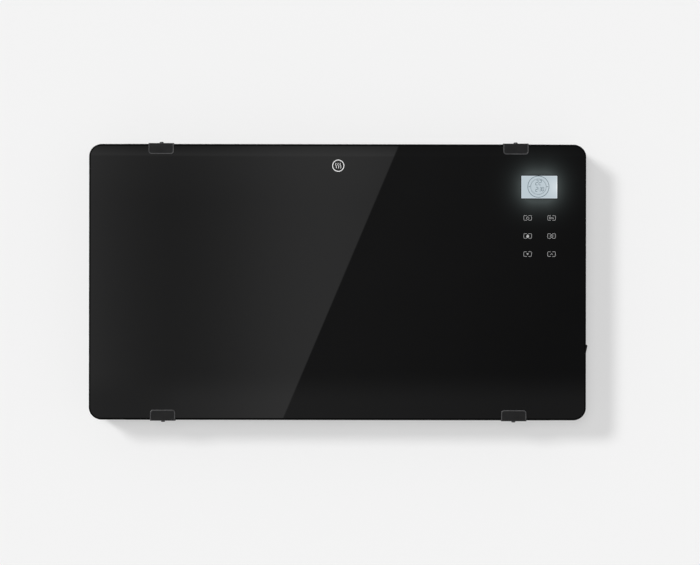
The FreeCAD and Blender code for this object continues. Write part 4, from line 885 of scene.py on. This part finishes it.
clipPaint = {
    "dark": (0.006, 0.006, 0.0065), "light": (0.010, 0.010, 0.0105), "driftScale": 70.0, "grainScale": 1300.0,
    "smooth": 0.30, "rough": 0.42, "bump": 0.15, "depth": 0.04 * mm, "shine": 0.27,
}
boardMask = {
    "dark": (0.015, 0.10, 0.04), "light": (0.03, 0.17, 0.07), "driftScale": 30.0, "traceScale": 260.0,
    "traceEnds": (0.32, 0.38), "smooth": 0.30, "rough": 0.46, "bump": 0.2, "depth": 0.03 * mm,
}
galvanised = {
    "dark": (0.50, 0.52, 0.54), "light": (0.72, 0.73, 0.75), "spangle": 130.0,
    "smooth": 0.26, "rough": 0.48, "bump": 0.08, "depth": 0.03 * mm,
}


def solderMask(look):
    material, tree, shader = newMaterial("solder mask")
    where = places(tree)
    drift = noise(tree, where, look["driftScale"])
    inputs = {"Vector": where, "Scale": look["traceScale"]}
    cells = first(tree, "ShaderNodeTexVoronoi", inputs, distance="MANHATTAN")
    trace = spread(tree, cells, *look["traceEnds"], 0.0, 1.0)
    shade = blendColour(tree, calc(tree, "MULTIPLY", trace, drift), look["dark"], look["light"])
    feed(tree, shader, Base_Color=shade, Roughness=roughBy(tree, drift, look), Normal=bump(tree, trace, look))
    return material


def zincSheet(look):
    material, tree, shader = newMaterial("galvanised sheet", Metallic=1.0)
    cells = put(tree, "ShaderNodeTexVoronoi", {"Vector": places(tree), "Scale": look["spangle"]})
    grey = first(tree, "ShaderNodeSeparateColor", {0: cells.outputs["Color"]})
    shade = blendColour(tree, grey, look["dark"], look["light"])
    roughness = roughBy(tree, grey, look, (0.0, 1.0))
    feed(tree, shader, Base_Color=shade, Roughness=roughness, Normal=bump(tree, grey, look))
    return material


finishes = {
    "black_glass": grainFinish("glass body", glossPlastic),
    "casing_paint": grainFinish("casing powder coat", powderCoat),
    "clip_paint": grainFinish("clip coat", clipPaint),
    "black_screw": grainFinish("black zinc screws", blackZinc),
    "zinc_steel": zincSheet(galvanised),
    "silicone": grainFinish("silicone", siliconeRubber),
    "aluminium": grainFinish("rolled aluminium", rolledAluminium),
    "sheath": grainFinish("heat-stained tube", stainedTube),
    "ceramic": grainFinish("steatite", steatite),
    "grille_plastic": grainFinish("grille plastic", blackPlastic),
    "switch_plastic": grainFinish("switch plastic", glossPlastic),
    "board_green": solderMask(boardMask),
    "component": grainFinish("moulded cases", mouldedCase),
    "white_plastic": grainFinish("pale nylon", paleNylon),
    "screen": grainFinish("screen case", screenCase),
    "brass": grainFinish("turned brass", turnedBrass),
    "lead_cover": grainFinish("lead covers", redCover),
}
for node, slot in slotOf.items():
    for place in nodes[node].material_slots:
        place.material = finishes[slot]
print("finishes set:", len(finishes))


# Clips, with softened edges and a raised rim

clipEdge = {"width": 0.3 * mm, "segments": 3}
rimLook = {
    "wide": 1.5 * mm,
    "proud": 0.6 * mm,
    "sides": 12,
    "inset": 0.85 * mm,
    "corner": 5 * mm,
    "cornerSteps": 8,
    "stop": 1.8 * mm,          # short of the clip's bend
    "sharp": 40,               # degrees from which an edge is shaded sharp
}
# the rim's colour, far lighter than the clip's paint, is a painted highlight along its bead
rimHighlightPaint = {
    "dark": (0.042, 0.042, 0.044), "light": (0.080, 0.080, 0.082), "driftScale": 160.0, "grainScale": 1300.0,
    "smooth": 0.26, "rough": 0.38, "bump": 0.1, "depth": 0.03 * mm,
}


def beadTree():
    tree, given = newTree("bead along a path", Wide="Float", Proud="Float", Sides="Int")
    path = first(tree, "GeometryNodeMeshToCurve", {"Mesh": given["Geometry"]})
    ring = first(tree, "GeometryNodeCurvePrimitiveCircle", {"Resolution": given["Sides"], "Radius": 1.0})
    size = vector(tree, X=calc(tree, "MULTIPLY", given["Wide"], 0.5), Y=given["Proud"], Z=1.0)
    flat = first(tree, "GeometryNodeTransform", {"Geometry": ring, "Scale": size})
    return closeTree(tree, sweep(tree, path, flat), given)


def rimPath(low, high, upper):
    # down one side of a clip's face, round its foot and up the other
    inset, corner = rimLook["inset"], rimLook["corner"] - rimLook["inset"]
    left, right, foot = low.x + inset, high.x - inset, low.z + inset
    stop, steps = high.z - rimLook["stop"], rimLook["cornerSteps"]
    points = [(left, stop)]
    points += arc(left + corner, foot + corner, corner, 180, 270, steps)
    points += arc(right - corner, foot + corner, corner, 270, 360, steps)
    points.append((right, stop))
    return [(x, low.y, z if upper else low.z + high.z - z) for x, z in points]


def makeClips():
    points, lines = [], []
    for height in ("top", "bottom"):
        for side in ("left", "right"):
            node = f"glass_clip_{height}_{side}"
            clip = softened(f"clip_{height}_{side}", node, **clipEdge)
            settle(clip, [finishes["clip_paint"]], "clip_paint", replaced=[node])
            path = rimPath(*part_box(node), height == "top")
            lines += [(len(points) + i, len(points) + i + 1) for i in range(len(path) - 1)]
            points += path
    seeds = bpy.data.meshes.new("clip_rims")
    seeds.from_pydata(points, lines, [])
    values = {"Wide": rimLook["wide"], "Proud": rimLook["proud"], "Sides": rimLook["sides"]}
    values["Finish"] = grainFinish("rim painted highlight", rimHighlightPaint)
    rims = grow("clip_rims", beadTree(), values, seeds)
    smoothen(rims.data, rimLook["sharp"])
    settle(rims, [], "clip_paint")


makeClips()
print("clips made")


# Seal between the casing's front and the glass

sealLook = {"wide": 2.0 * mm, "corner": 16 * mm, "cornerSteps": 10, "inset": 0.05 * mm, "round": 0.4 * mm}
sealRubber = {
    "dark": (0.004, 0.004, 0.004), "light": (0.008, 0.008, 0.008), "driftScale": 40.0, "grainScale": 900.0,
    "smooth": 0.70, "rough": 0.86, "bump": 0.2, "depth": 0.05 * mm, "shine": 0.1,
}


def makeSeal():
    back, front, turn = casingLow.y, glassHigh.y, sealLook["round"]
    outer, inner = sealLook["inset"], sealLook["inset"] + sealLook["wide"]
    profile = [(outer, back), (outer, front + turn), (outer + turn, front)]
    profile += [(inner - turn, front), (inner, front + turn), (inner, back)]
    rings = outlineRings(profile, halfOf(casingLow, casingHigh, 0, 2), sealLook["corner"],
                         sealLook["cornerSteps"], lambda x, z, y: (x, y, z))
    bm = bmesh.new()
    addRings(bm, rings, closed=True)
    makePiece("glass_seal", bm, [grainFinish("seal rubber", sealRubber)], "silicone")


makeSeal()
print("seal made")


# Screws

screwLook = {
    "sides": 24,               # six to each arm of the recess
    "shank": 0.55,             # of the head's radius
    "tip": (0.6, 0.4),         # end and slope of the shank's point, of its radius
    "dome": ((1.0, 0.0), (1.0, 0.42), (0.94, 0.72), (0.82, 0.91), (0.68, 1.0)),
    "recess": 0.62,
    "recessWidth": 0.16,
    "recessDepth": 0.6,        # of the head's height
    "recessTaper": (0.6, 0.75),
    "seed": 7,
    "rows": {                  # head height and the axis that the row stands along
        "clip_screws": (2.4 * mm, 2),
        "casing_screws": (1.8 * mm, 0),
        "back_screws": (1.8 * mm, 1),
    },
}


def crossOutline(reach, half):
    # one arm's six points, turned four times
    middle = (reach + half) / 2
    arm = [(half, -half), (middle, -half), (reach, -half), (reach, 0), (reach, half), (middle, half)]
    points = []
    for quarter in range(4):
        points += arm
        arm = [(-y, x) for x, y in arm]
    return points


def screwBody(radius, height, length):
    # pan head with a cross recess, its seat at the origin
    shank, sides = screwLook["shank"] * radius, screwLook["sides"]
    tip, slope = [share * shank for share in screwLook["tip"]]
    profile = [(tip, -length), (shank, slope - length), (shank, 0)]
    profile += [(share * radius, rise * height) for share, rise in screwLook["dome"]]
    angles = [2 * math.pi * step / sides - math.pi / 4 for step in range(sides)]
    rings = [[(r * math.cos(a), r * math.sin(a), z) for a in angles] for r, z in profile]
    reach, half = screwLook["recess"] * radius, screwLook["recessWidth"] * radius
    floor = height * (1 - screwLook["recessDepth"])
    reachTaper, halfTaper = screwLook["recessTaper"]
    rings.append([(x, y, height) for x, y in crossOutline(reach, half)])
    rings.append([(x, y, floor) for x, y in crossOutline(reachTaper * reach, halfTaper * half)])
    bm = bmesh.new()
    addRings(bm, rings, capped=True)
    return newObject("screw_pattern", newMesh("screw_pattern", bm))


def screwTree():
    tree, given = newTree("screws on their seats", Screw="Object", Seed="Int")
    outward = first(tree, "GeometryNodeInputNamedAttribute", {"Name": "outward"}, data_type="FLOAT_VECTOR")
    standing = first(tree, "FunctionNodeAlignRotationToVector", {"Vector": outward}, axis="Z")
    limits = {2: 0.0, 3: 2 * math.pi, "Seed": given["Seed"]}     # 2 and 3: least and most, as plain numbers
    chance = put(tree, "FunctionNodeRandomValue", limits, data_type="FLOAT").outputs[1]
    spin = first(tree, "FunctionNodeAxisAngleToRotation", {"Axis": (0, 0, 1), "Angle": chance})
    both = {"Rotation": standing, "Rotate By": spin}
    turned = first(tree, "FunctionNodeRotateRotation", both, rotation_space="LOCAL")
    screw = put(tree, "GeometryNodeObjectInfo", {"Object": given["Screw"]}).outputs["Geometry"]
    return plantTree(tree, given["Geometry"], screw, given, Rotation=turned)


def makeScrews():
    tree = screwTree()
    for node, (height, axis) in screwLook["rows"].items():
        seats, ways = [], []
        for low, high in islands(node):
            middle, size = (low + high) / 2, high - low
            out = 1 if axis == 1 or middle[axis] > 0 else -1     # the back row faces the wall
            middle[axis] += out * (size[axis] / 2 - height)
            seats.append(middle)
            ways.append([out if i == axis else 0 for i in range(3)])
        radius = max(size[i] for i in range(3) if i != axis) / 2
        pattern = screwBody(radius, height, size[axis] - height)
        seeds = bpy.data.meshes.new(node)
        seeds.from_pydata(seats, [], [])
        outward = seeds.attributes.new("outward", "FLOAT_VECTOR", "POINT")
        outward.data.foreach_set("vector", [part for way in ways for part in way])
        values = {"Screw": pattern, "Seed": screwLook["seed"], "Finish": finishes["black_screw"]}
        row = grow(f"{node}_crossed", tree, values, seeds)
        bpy.data.objects.remove(pattern)
        settle(row, [], "black_screw", replaced=[node])


makeScrews()
print("screws made")


# Air grilles

grilleLook = {
    "corner": 2.5 * mm,
    "cornerSteps": 5,
    "round": 0.5 * mm,
    "roundSteps": 3,
    "throatInset": 2.8 * mm,
    "opening": 4.8 * mm,       # from the lip's outside to the slots
    "pitch": 8 * mm,
    "slat": 3 * mm,
    "slatRound": 1.1 * mm,
    "slatDrop": 0.5 * mm,      # below the lip's top
    "seated": 1 * mm,          # how far the slats run into the frame
    "sharp": 40,
}


def slatTree():
    sizes = {key: "Float" for key in ("Pitch", "Wide", "Tall", "Long", "Round")}
    tree, given = newTree("grille slats", Count="Int", Middle="Vector", **sizes)
    ends = [vector(tree, Y=calc(tree, "MULTIPLY", given["Long"], share)) for share in (-0.5, 0.5)]
    run = first(tree, "GeometryNodeCurvePrimitiveLine", {"Start": ends[0], "End": ends[1]})
    slat = sweep(tree, run, filleted(tree, given, given["Round"], grilleLook["roundSteps"]))
    return plantTree(tree, pointRow(tree, given), slat, given)


def makeGrille(node, out, tree):
    # frame and slats of the grille in the top (out 1) or the bottom (out -1)
    low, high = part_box(node)
    wide, deep = halfOf(low, high, 0, 1)
    middleX, middleY = middleOf(low, high, 0, 1)
    top, seat = (high.z, casingHigh.z) if out > 0 else (-low.z, -casingLow.z)
    foot = top - (high.z - low.z)
    turn, opening, throat = grilleLook["round"], grilleLook["opening"], grilleLook["throatInset"]
    steps = grilleLook["roundSteps"]
    bends = [(1 - math.cos(a), 1 - math.sin(a)) for a in [math.pi / 2 * i / steps for i in range(steps + 1)]]
    profile = [(0, seat)]
    profile += [(turn * over, top - turn * under) for over, under in bends]
    profile += [(opening - turn * under, top - turn * over) for over, under in bends]
    profile += [(opening, foot), (throat, foot), (throat, seat)]
    rings = outlineRings(profile, (wide, deep), grilleLook["corner"], grilleLook["cornerSteps"],
                         lambda x, y, height: (middleX + x, middleY + y, out * height))
    bm = bmesh.new()
    addRings(bm, rings, closed=True)
    name = node.replace("_grille", "")
    plastic = finishes["grille_plastic"]
    makePiece(f"{name}_frame", bm, [plastic], "grille_plastic", replaced=[node])
    tall = top - grilleLook["slatDrop"] - foot
    values = {
        "Count": int(2 * (wide - opening) / grilleLook["pitch"]),
        "Pitch": grilleLook["pitch"],
        "Wide": grilleLook["slat"],
        "Tall": tall,
        "Long": 2 * (deep - opening + grilleLook["seated"]),
        "Round": grilleLook["slatRound"],
        "Middle": (middleX, middleY, out * (foot + tall / 2)),
        "Finish": plastic,
    }
    slats = grow(f"{name}_slats", tree, values)
    smoothen(slats.data, grilleLook["sharp"])
    settle(slats, [], "grille_plastic")


slats = slatTree()
makeGrille("outlet_grille", 1, slats)
makeGrille("intake_grille", -1, slats)
print("grilles made")


# Pressed rims round the air slots in the back

ventLook = {
    "count": 32,
    "pitch": 12 * mm,
    "width": 4 * mm,
    "height": 36 * mm,
    "rise": 42 * mm,           # middle of the slots above the casing's bottom
    "bend": 0.499,             # of the width, just short of half so that the sides stay
    "bendSteps": 4,
    "bead": 0.6 * mm,
    "beadSides": 6,
    "sharp": 60,
    "depth": 20 * mm,          # of the casing's back from the wall
}


def ventTree():
    sizes = {key: "Float" for key in ("Pitch", "Wide", "Tall", "Bead")}
    tree, given = newTree("rims of the air slots", Count="Int", Middle="Vector", **sizes)
    bend = calc(tree, "MULTIPLY", given["Wide"], ventLook["bend"])
    size = {"Resolution": ventLook["beadSides"], "Radius": given["Bead"]}
    wire = first(tree, "GeometryNodeCurvePrimitiveCircle", size)
    rim = sweep(tree, filleted(tree, given, bend, ventLook["bendSteps"]), wire, False)
    standing = first(tree, "GeometryNodeTransform", {"Geometry": rim, "Rotation": upright})
    return plantTree(tree, pointRow(tree, given), standing, given)


def makeVentRims():
    values = {
        "Count": ventLook["count"],
        "Pitch": ventLook["pitch"],
        "Wide": ventLook["width"] + ventLook["bead"],
        "Tall": ventLook["height"] + ventLook["bead"],
        "Bead": ventLook["bead"],
        "Middle": (0, -ventLook["depth"], casingLow.z + ventLook["rise"]),
        "Finish": finishes["casing_paint"],
    }
    rims = grow("vent_rims", ventTree(), values)
    smoothen(rims.data, ventLook["sharp"])
    settle(rims, [], "casing_paint")


makeVentRims()
print("vent rims made")


# Switch, cord inlet, bracket and the cases inside, with softened edges

softLook = {                   # piece, CAD node, edge, body
    "switch_frame": ("switch_housing", 0.4 * mm, "heater"),
    "rocker_cap": ("switch_rocker", 0.35 * mm, "rocker"),
    "gland_body": ("cord_gland", 0.25 * mm, "heater"),
    "bracket_sheet": ("wall_bracket", 0.2 * mm, "wall_bracket"),
    "relay_cases": ("relays", 0.6 * mm, "heater"),
    "transformer_case": ("supply_transformer", 0.9 * mm, "heater"),
    "radio_shield": ("wireless_module", 0.3 * mm, "heater"),
    "terminal_body": ("terminal_block", 0.7 * mm, "heater"),
    "socket_bodies": ("board_sockets", 0.3 * mm, "heater"),
    "sensor_post": ("sensor_stand", 0.5 * mm, "heater"),
    "capacitor_cans": ("capacitors", 0.9 * mm, "heater"),
    "cushion_strips": ("glass_cushions", 0.6 * mm, "heater"),
    "screen_case": ("lcd_module", 0.4 * mm, "heater"),
}
for name, (node, width, body) in softLook.items():
    settle(softened(name, node, width), [finishes[slotOf[node]]], slotOf[node], body, [node])

rockerLook = {
    "tilt": 10,                # degrees at rest, upper end out
    "middle": 7.3 * mm,        # face from the pivot, at its middle
    "slope": 0.4 / 13.3,       # of each half of the face
    "markPlace": 5.4 * mm,     # from the middle along the face
    "markSize": 4.6 * mm,
    "markLine": 0.7 * mm,
    "ringSteps": 32,
    "thick": 0.05 * mm,
    "tint": (0.62, 0.62, 0.62),
    # painted glow: the switch has no lamp behind its marks
    "light": 0.05,
    "body": 1.0,
}


def makeRockerMarks():
    # a bar on the upper half and a ring on the lower
    joints = frame["record"]["behaviour"]["joints"]
    pivot = next(joint["pos_m"] for joint in joints if joint["name"] == "rocker_tilt")
    tilt = Matrix.Rotation(math.radians(rockerLook["tilt"]), 4, "Y")
    size, line, thick = rockerLook["markSize"], rockerLook["markLine"], rockerLook["thick"]
    marks = bmesh.new()
    for half in (1, -1):
        bm = bmesh.new()
        if half > 0:
            addStroke(bm, [(0, -size / 2), (0, size / 2)], line, 0, -thick)
        else:
            addStroke(bm, circle(0, 0, size / 2, rockerLook["ringSteps"]), line, 0, -thick, closed=True)
        up = Vector((half * rockerLook["slope"], 0, 1)).normalized()
        out = Vector((up.z, 0, -up.x))
        place = Vector((rockerLook["middle"], 0, 0)) + half * rockerLook["markPlace"] * up
        turn = Matrix((Vector((0, 1, 0)), -out, up)).transposed().to_4x4()
        bm.transform(Matrix.Translation(pivot) @ tilt @ Matrix.Translation(place) @ turn)
        marks.from_mesh(newMesh("rocker_marks", bm))
    makePiece("rocker_marks", marks, [glowInk("rocker print painted glow", rockerLook)], "white_plastic", "rocker")


makeRockerMarks()
print("switch made")


# Stage, lights and what the glass mirrors

stageLook = {
    "wall": (0.90, 0.90, 0.90),
    "floor": (0.90, 0.90, 0.90),
    "roughness": 0.9,
    "ownLight": 0.5,               # share of the pale colour that no shadow takes away
    "reach": 9.0,
    "wallGap": 0.5 * mm,
    "floorDrop": 1.1,
    "floorFade": (0.8, 1.8),       # the floor dies away from the wall into the room, and to both sides
    "sideFade": (3.0, 8.0),
    "ambient": 0.28,
    "fill": 0.75,
    "fillWay": (0.12, 1, -0.12),
    "fillSoftness": 16,            # degrees
    "key": 2.0,
    "keyWay": (57, 84, -38),       # right, to the wall, down: from the photograph's shadow
    "keySoftness": 13,
    "back": 1.3,
    "backWay": (-0.4, -1, -0.55),
    "backSoftness": 25,
}
mirrored = {
    "behindCamera": 0.4,
    "steps": 96,
    "edgeTop": (397.9, 147),       # ends of the slanting edge in the glass, in pixels
    "edgeBottom": (283.0, 419),
    "edgeBlur": 2 * mm,
    "panelTurn": 22.5,             # degrees from one bright panel to the next
    "sideTurn": 115,               # degrees that the panels reach round each side
    "low": -9.0,
    "high": 4.5,
    "bright": 0.60,                # on the crest of the bright panel's slow wave and in its dip
    "brightDip": 0.31,
    "crest": -0.05,
    "leftGain": 1.25,              # at the bright panel's far end
    "leftEnds": (-0.95, -0.60),
    "dim": 0.165,                  # beside the edge and far from it
    "dimFar": 0.105,
    "dimEnds": (0.1, 0.8),
    "foot": 0.12,                  # added towards the floor
    "footEnds": (0.05, 0.17),      # above the edge's lower end
    "footLeft": ((-0.85, -0.85), (-0.55, 1.05)),    # share of the foot along the bright panel
    # added near the edge's upper end, by height from it
    "head": ((-0.190, 0.0), (-0.034, 0.06), (-0.029, 0.20), (0.0, -0.03)),
    "headDim": 0.12,               # share of that on the dim panel
}


def seenDirectly(tree):
    # 1 for rays from the camera, off gloss and through clear pieces
    path = put(tree, "ShaderNodeLightPath").outputs
    seen = calc(tree, "MAXIMUM", path["Is Camera Ray"], path["Is Glossy Ray"])
    return calc(tree, "MAXIMUM", seen, path["Is Transmission Ray"])


def stageMaterial(name, tint, fading):
    # opaque from the front to what sees it, and clear to light and from behind
    share = stageLook["ownLight"]
    material, tree, shader = newMaterial(
        name, Roughness=stageLook["roughness"], Specular_IOR_Level=0.0, Emission_Strength=share,
        Base_Color=[(1 - share) * part for part in tint] + [1], Emission_Color=(*tint, 1))
    behind = put(tree, "ShaderNodeNewGeometry").outputs["Backfacing"]
    shown = calc(tree, "MULTIPLY", seenDirectly(tree), calc(tree, "SUBTRACT", 1.0, behind))
    if fading:
        x, y, z = put(tree, "ShaderNodeSeparateXYZ", {0: places(tree)}).outputs
        ways = {"floorFade": calc(tree, "MULTIPLY", y, -1.0), "sideFade": calc(tree, "ABSOLUTE", x)}
        for limits, way in ways.items():
            left = spread(tree, way, *stageLook[limits], 1.0, 0.0, smooth=True)
            shown = calc(tree, "MULTIPLY", shown, left)
    clear = first(tree, "ShaderNodeBsdfTransparent")
    mixed = first(tree, "ShaderNodeMixShader", {0: shown, 1: clear, 2: shader.outputs[0]})
    tree.links.new(mixed, tree.nodes["Material Output"].inputs["Surface"])
    return material


def stageSheet(name, corners, fading=False):
    mesh = bpy.data.meshes.new(name)
    mesh.from_pydata(corners, [], [(0, 1, 2, 3)])
    mesh.materials.append(stageMaterial(name, stageLook[name], fading))
    newObject(name, mesh)


def makeStage():
    far, low, y = stageLook["reach"], -stageLook["floorDrop"], stageLook["wallGap"]
    wall = [(-far, y, low), (far, y, low), (far, y, far), (-far, y, far)]
    stageSheet("wall", wall)
    near = -stageLook["floorFade"][1]
    floor = [(-far, near, low), (far, near, low), (far, far, low), (-far, far, low)]
    stageSheet("floor", floor, fading=True)


def panelLight(tree, radius, ends):
    # brightness of the panels: bright left of each slanting edge and dim right of it
    x, y, z = put(tree, "ShaderNodeSeparateXYZ", {0: places(tree)}).outputs
    turn = calc(tree, "ARCTAN2", x, calc(tree, "MULTIPLY", y, -1.0))
    along = calc(tree, "MULTIPLY", turn, radius)
    (topTurn, topZ), (lowTurn, lowZ) = ends
    slant = (topTurn - lowTurn) * radius / (topZ - lowZ)
    edge = calc(tree, "ADD", calc(tree, "MULTIPLY", z, slant), lowTurn * radius - slant * lowZ)
    half = math.radians(mirrored["panelTurn"]) * radius / 2
    inputs = {0: calc(tree, "SUBTRACT", along, edge), 1: half, 2: -half}
    side = first(tree, "ShaderNodeMath", inputs, operation="WRAP")
    left = spread(tree, side, -mirrored["edgeBlur"], mirrored["edgeBlur"], 1.0, 0.0)
    away = calc(tree, "SUBTRACT", along, mirrored["crest"])
    wave = calc(tree, "COSINE", calc(tree, "MULTIPLY", away, 2 * math.pi / half))
    footEnds = [lowZ + end for end in mirrored["footEnds"]]
    foot = spread(tree, z, *footEnds, mirrored["foot"], 0.0, smooth=True)
    head = course(tree, z, [(topZ + rise, added) for rise, added in mirrored["head"]])
    bright = spread(tree, wave, -1.0, 1.0, mirrored["brightDip"], mirrored["bright"])
    gain = spread(tree, along, *mirrored["leftEnds"], mirrored["leftGain"], 1.0)
    bright = calc(tree, "ADD", calc(tree, "MULTIPLY", bright, gain), head)
    leftFoot = calc(tree, "MULTIPLY", foot, course(tree, along, mirrored["footLeft"]))
    bright = calc(tree, "ADD", bright, leftFoot)
    dim = spread(tree, side, *mirrored["dimEnds"], mirrored["dim"], mirrored["dimFar"])
    dim = calc(tree, "ADD", calc(tree, "ADD", dim, foot), calc(tree, "MULTIPLY", head, mirrored["headDim"]))
    return spread(tree, left, 0.0, 1.0, dim, bright)


def mirrorPanels():
    # panels round the front of the room, seen only in gloss, with an edge behind the camera
    radius = mirrored["behindCamera"] - camera.location.y
    eye = Vector((camera.location.x, 2 * glassFront - camera.location.y, camera.location.z))
    ends = []
    for pixel in (mirrored["edgeTop"], mirrored["edgeBottom"]):
        x, z = onGlass(*pixel)
        way = Vector((x, glassFront, z)) - eye
        a, b, c = way.xy.length_squared, eye.xy.dot(way.xy), eye.xy.length_squared - radius ** 2
        hit = eye + way * (math.sqrt(b * b - a * c) - b) / a
        ends.append((math.atan2(hit.x, -hit.y), hit.z))
    material = bpy.data.materials.new("mirrored panels")
    material.use_nodes = True
    tree = material.node_tree
    tree.nodes.clear()
    glow = first(tree, "ShaderNodeEmission", {"Strength": panelLight(tree, radius, ends)})
    put(tree, "ShaderNodeOutputMaterial", {0: glow})
    reach, count = math.radians(mirrored["sideTurn"]), mirrored["steps"]
    turns = [reach * (2 * step / count - 1) for step in range(count + 1)]
    heights = (mirrored["low"], mirrored["high"])
    points = [(radius * math.sin(t), -radius * math.cos(t), z) for t in turns for z in heights]
    faces = [(2 * i, 2 * i + 1, 2 * i + 3, 2 * i + 2) for i in range(count)]
    mesh = bpy.data.meshes.new("mirrored_panels")
    mesh.from_pydata(points, [], faces)
    mesh.materials.append(material)
    panels = newObject("mirrored_panels", mesh)
    for way in ("camera", "diffuse", "transmission", "shadow", "volume_scatter"):
        setattr(panels, f"visible_{way}", False)


def makeSun(name):
    lamp = bpy.data.lights.new(name, "SUN")
    lamp.energy = stageLook[name]
    lamp.angle = math.radians(stageLook[f"{name}Softness"])
    sun = newObject(name, lamp)
    sun.rotation_mode = "QUATERNION"
    sun.rotation_quaternion = Vector(stageLook[f"{name}Way"]).to_track_quat("-Z", "Y")
    return sun


def makeWorld():
    world = bpy.data.worlds.new("studio")
    scene.world = world
    world.use_nodes = True
    tree = world.node_tree
    tree.nodes.clear()
    level = spread(tree, seenDirectly(tree), 0.0, 1.0, stageLook["ambient"], 1.0)
    sky = first(tree, "ShaderNodeBackground", {"Color": (1, 1, 1, 1), "Strength": level})
    put(tree, "ShaderNodeOutputWorld", {0: sky})


makeStage()
mirrorPanels()
makeSun("key")
makeSun("back")
makeSun("fill").visible_glossy = False
makeWorld()
scene.view_settings.view_transform = "Standard"
print("stage set")
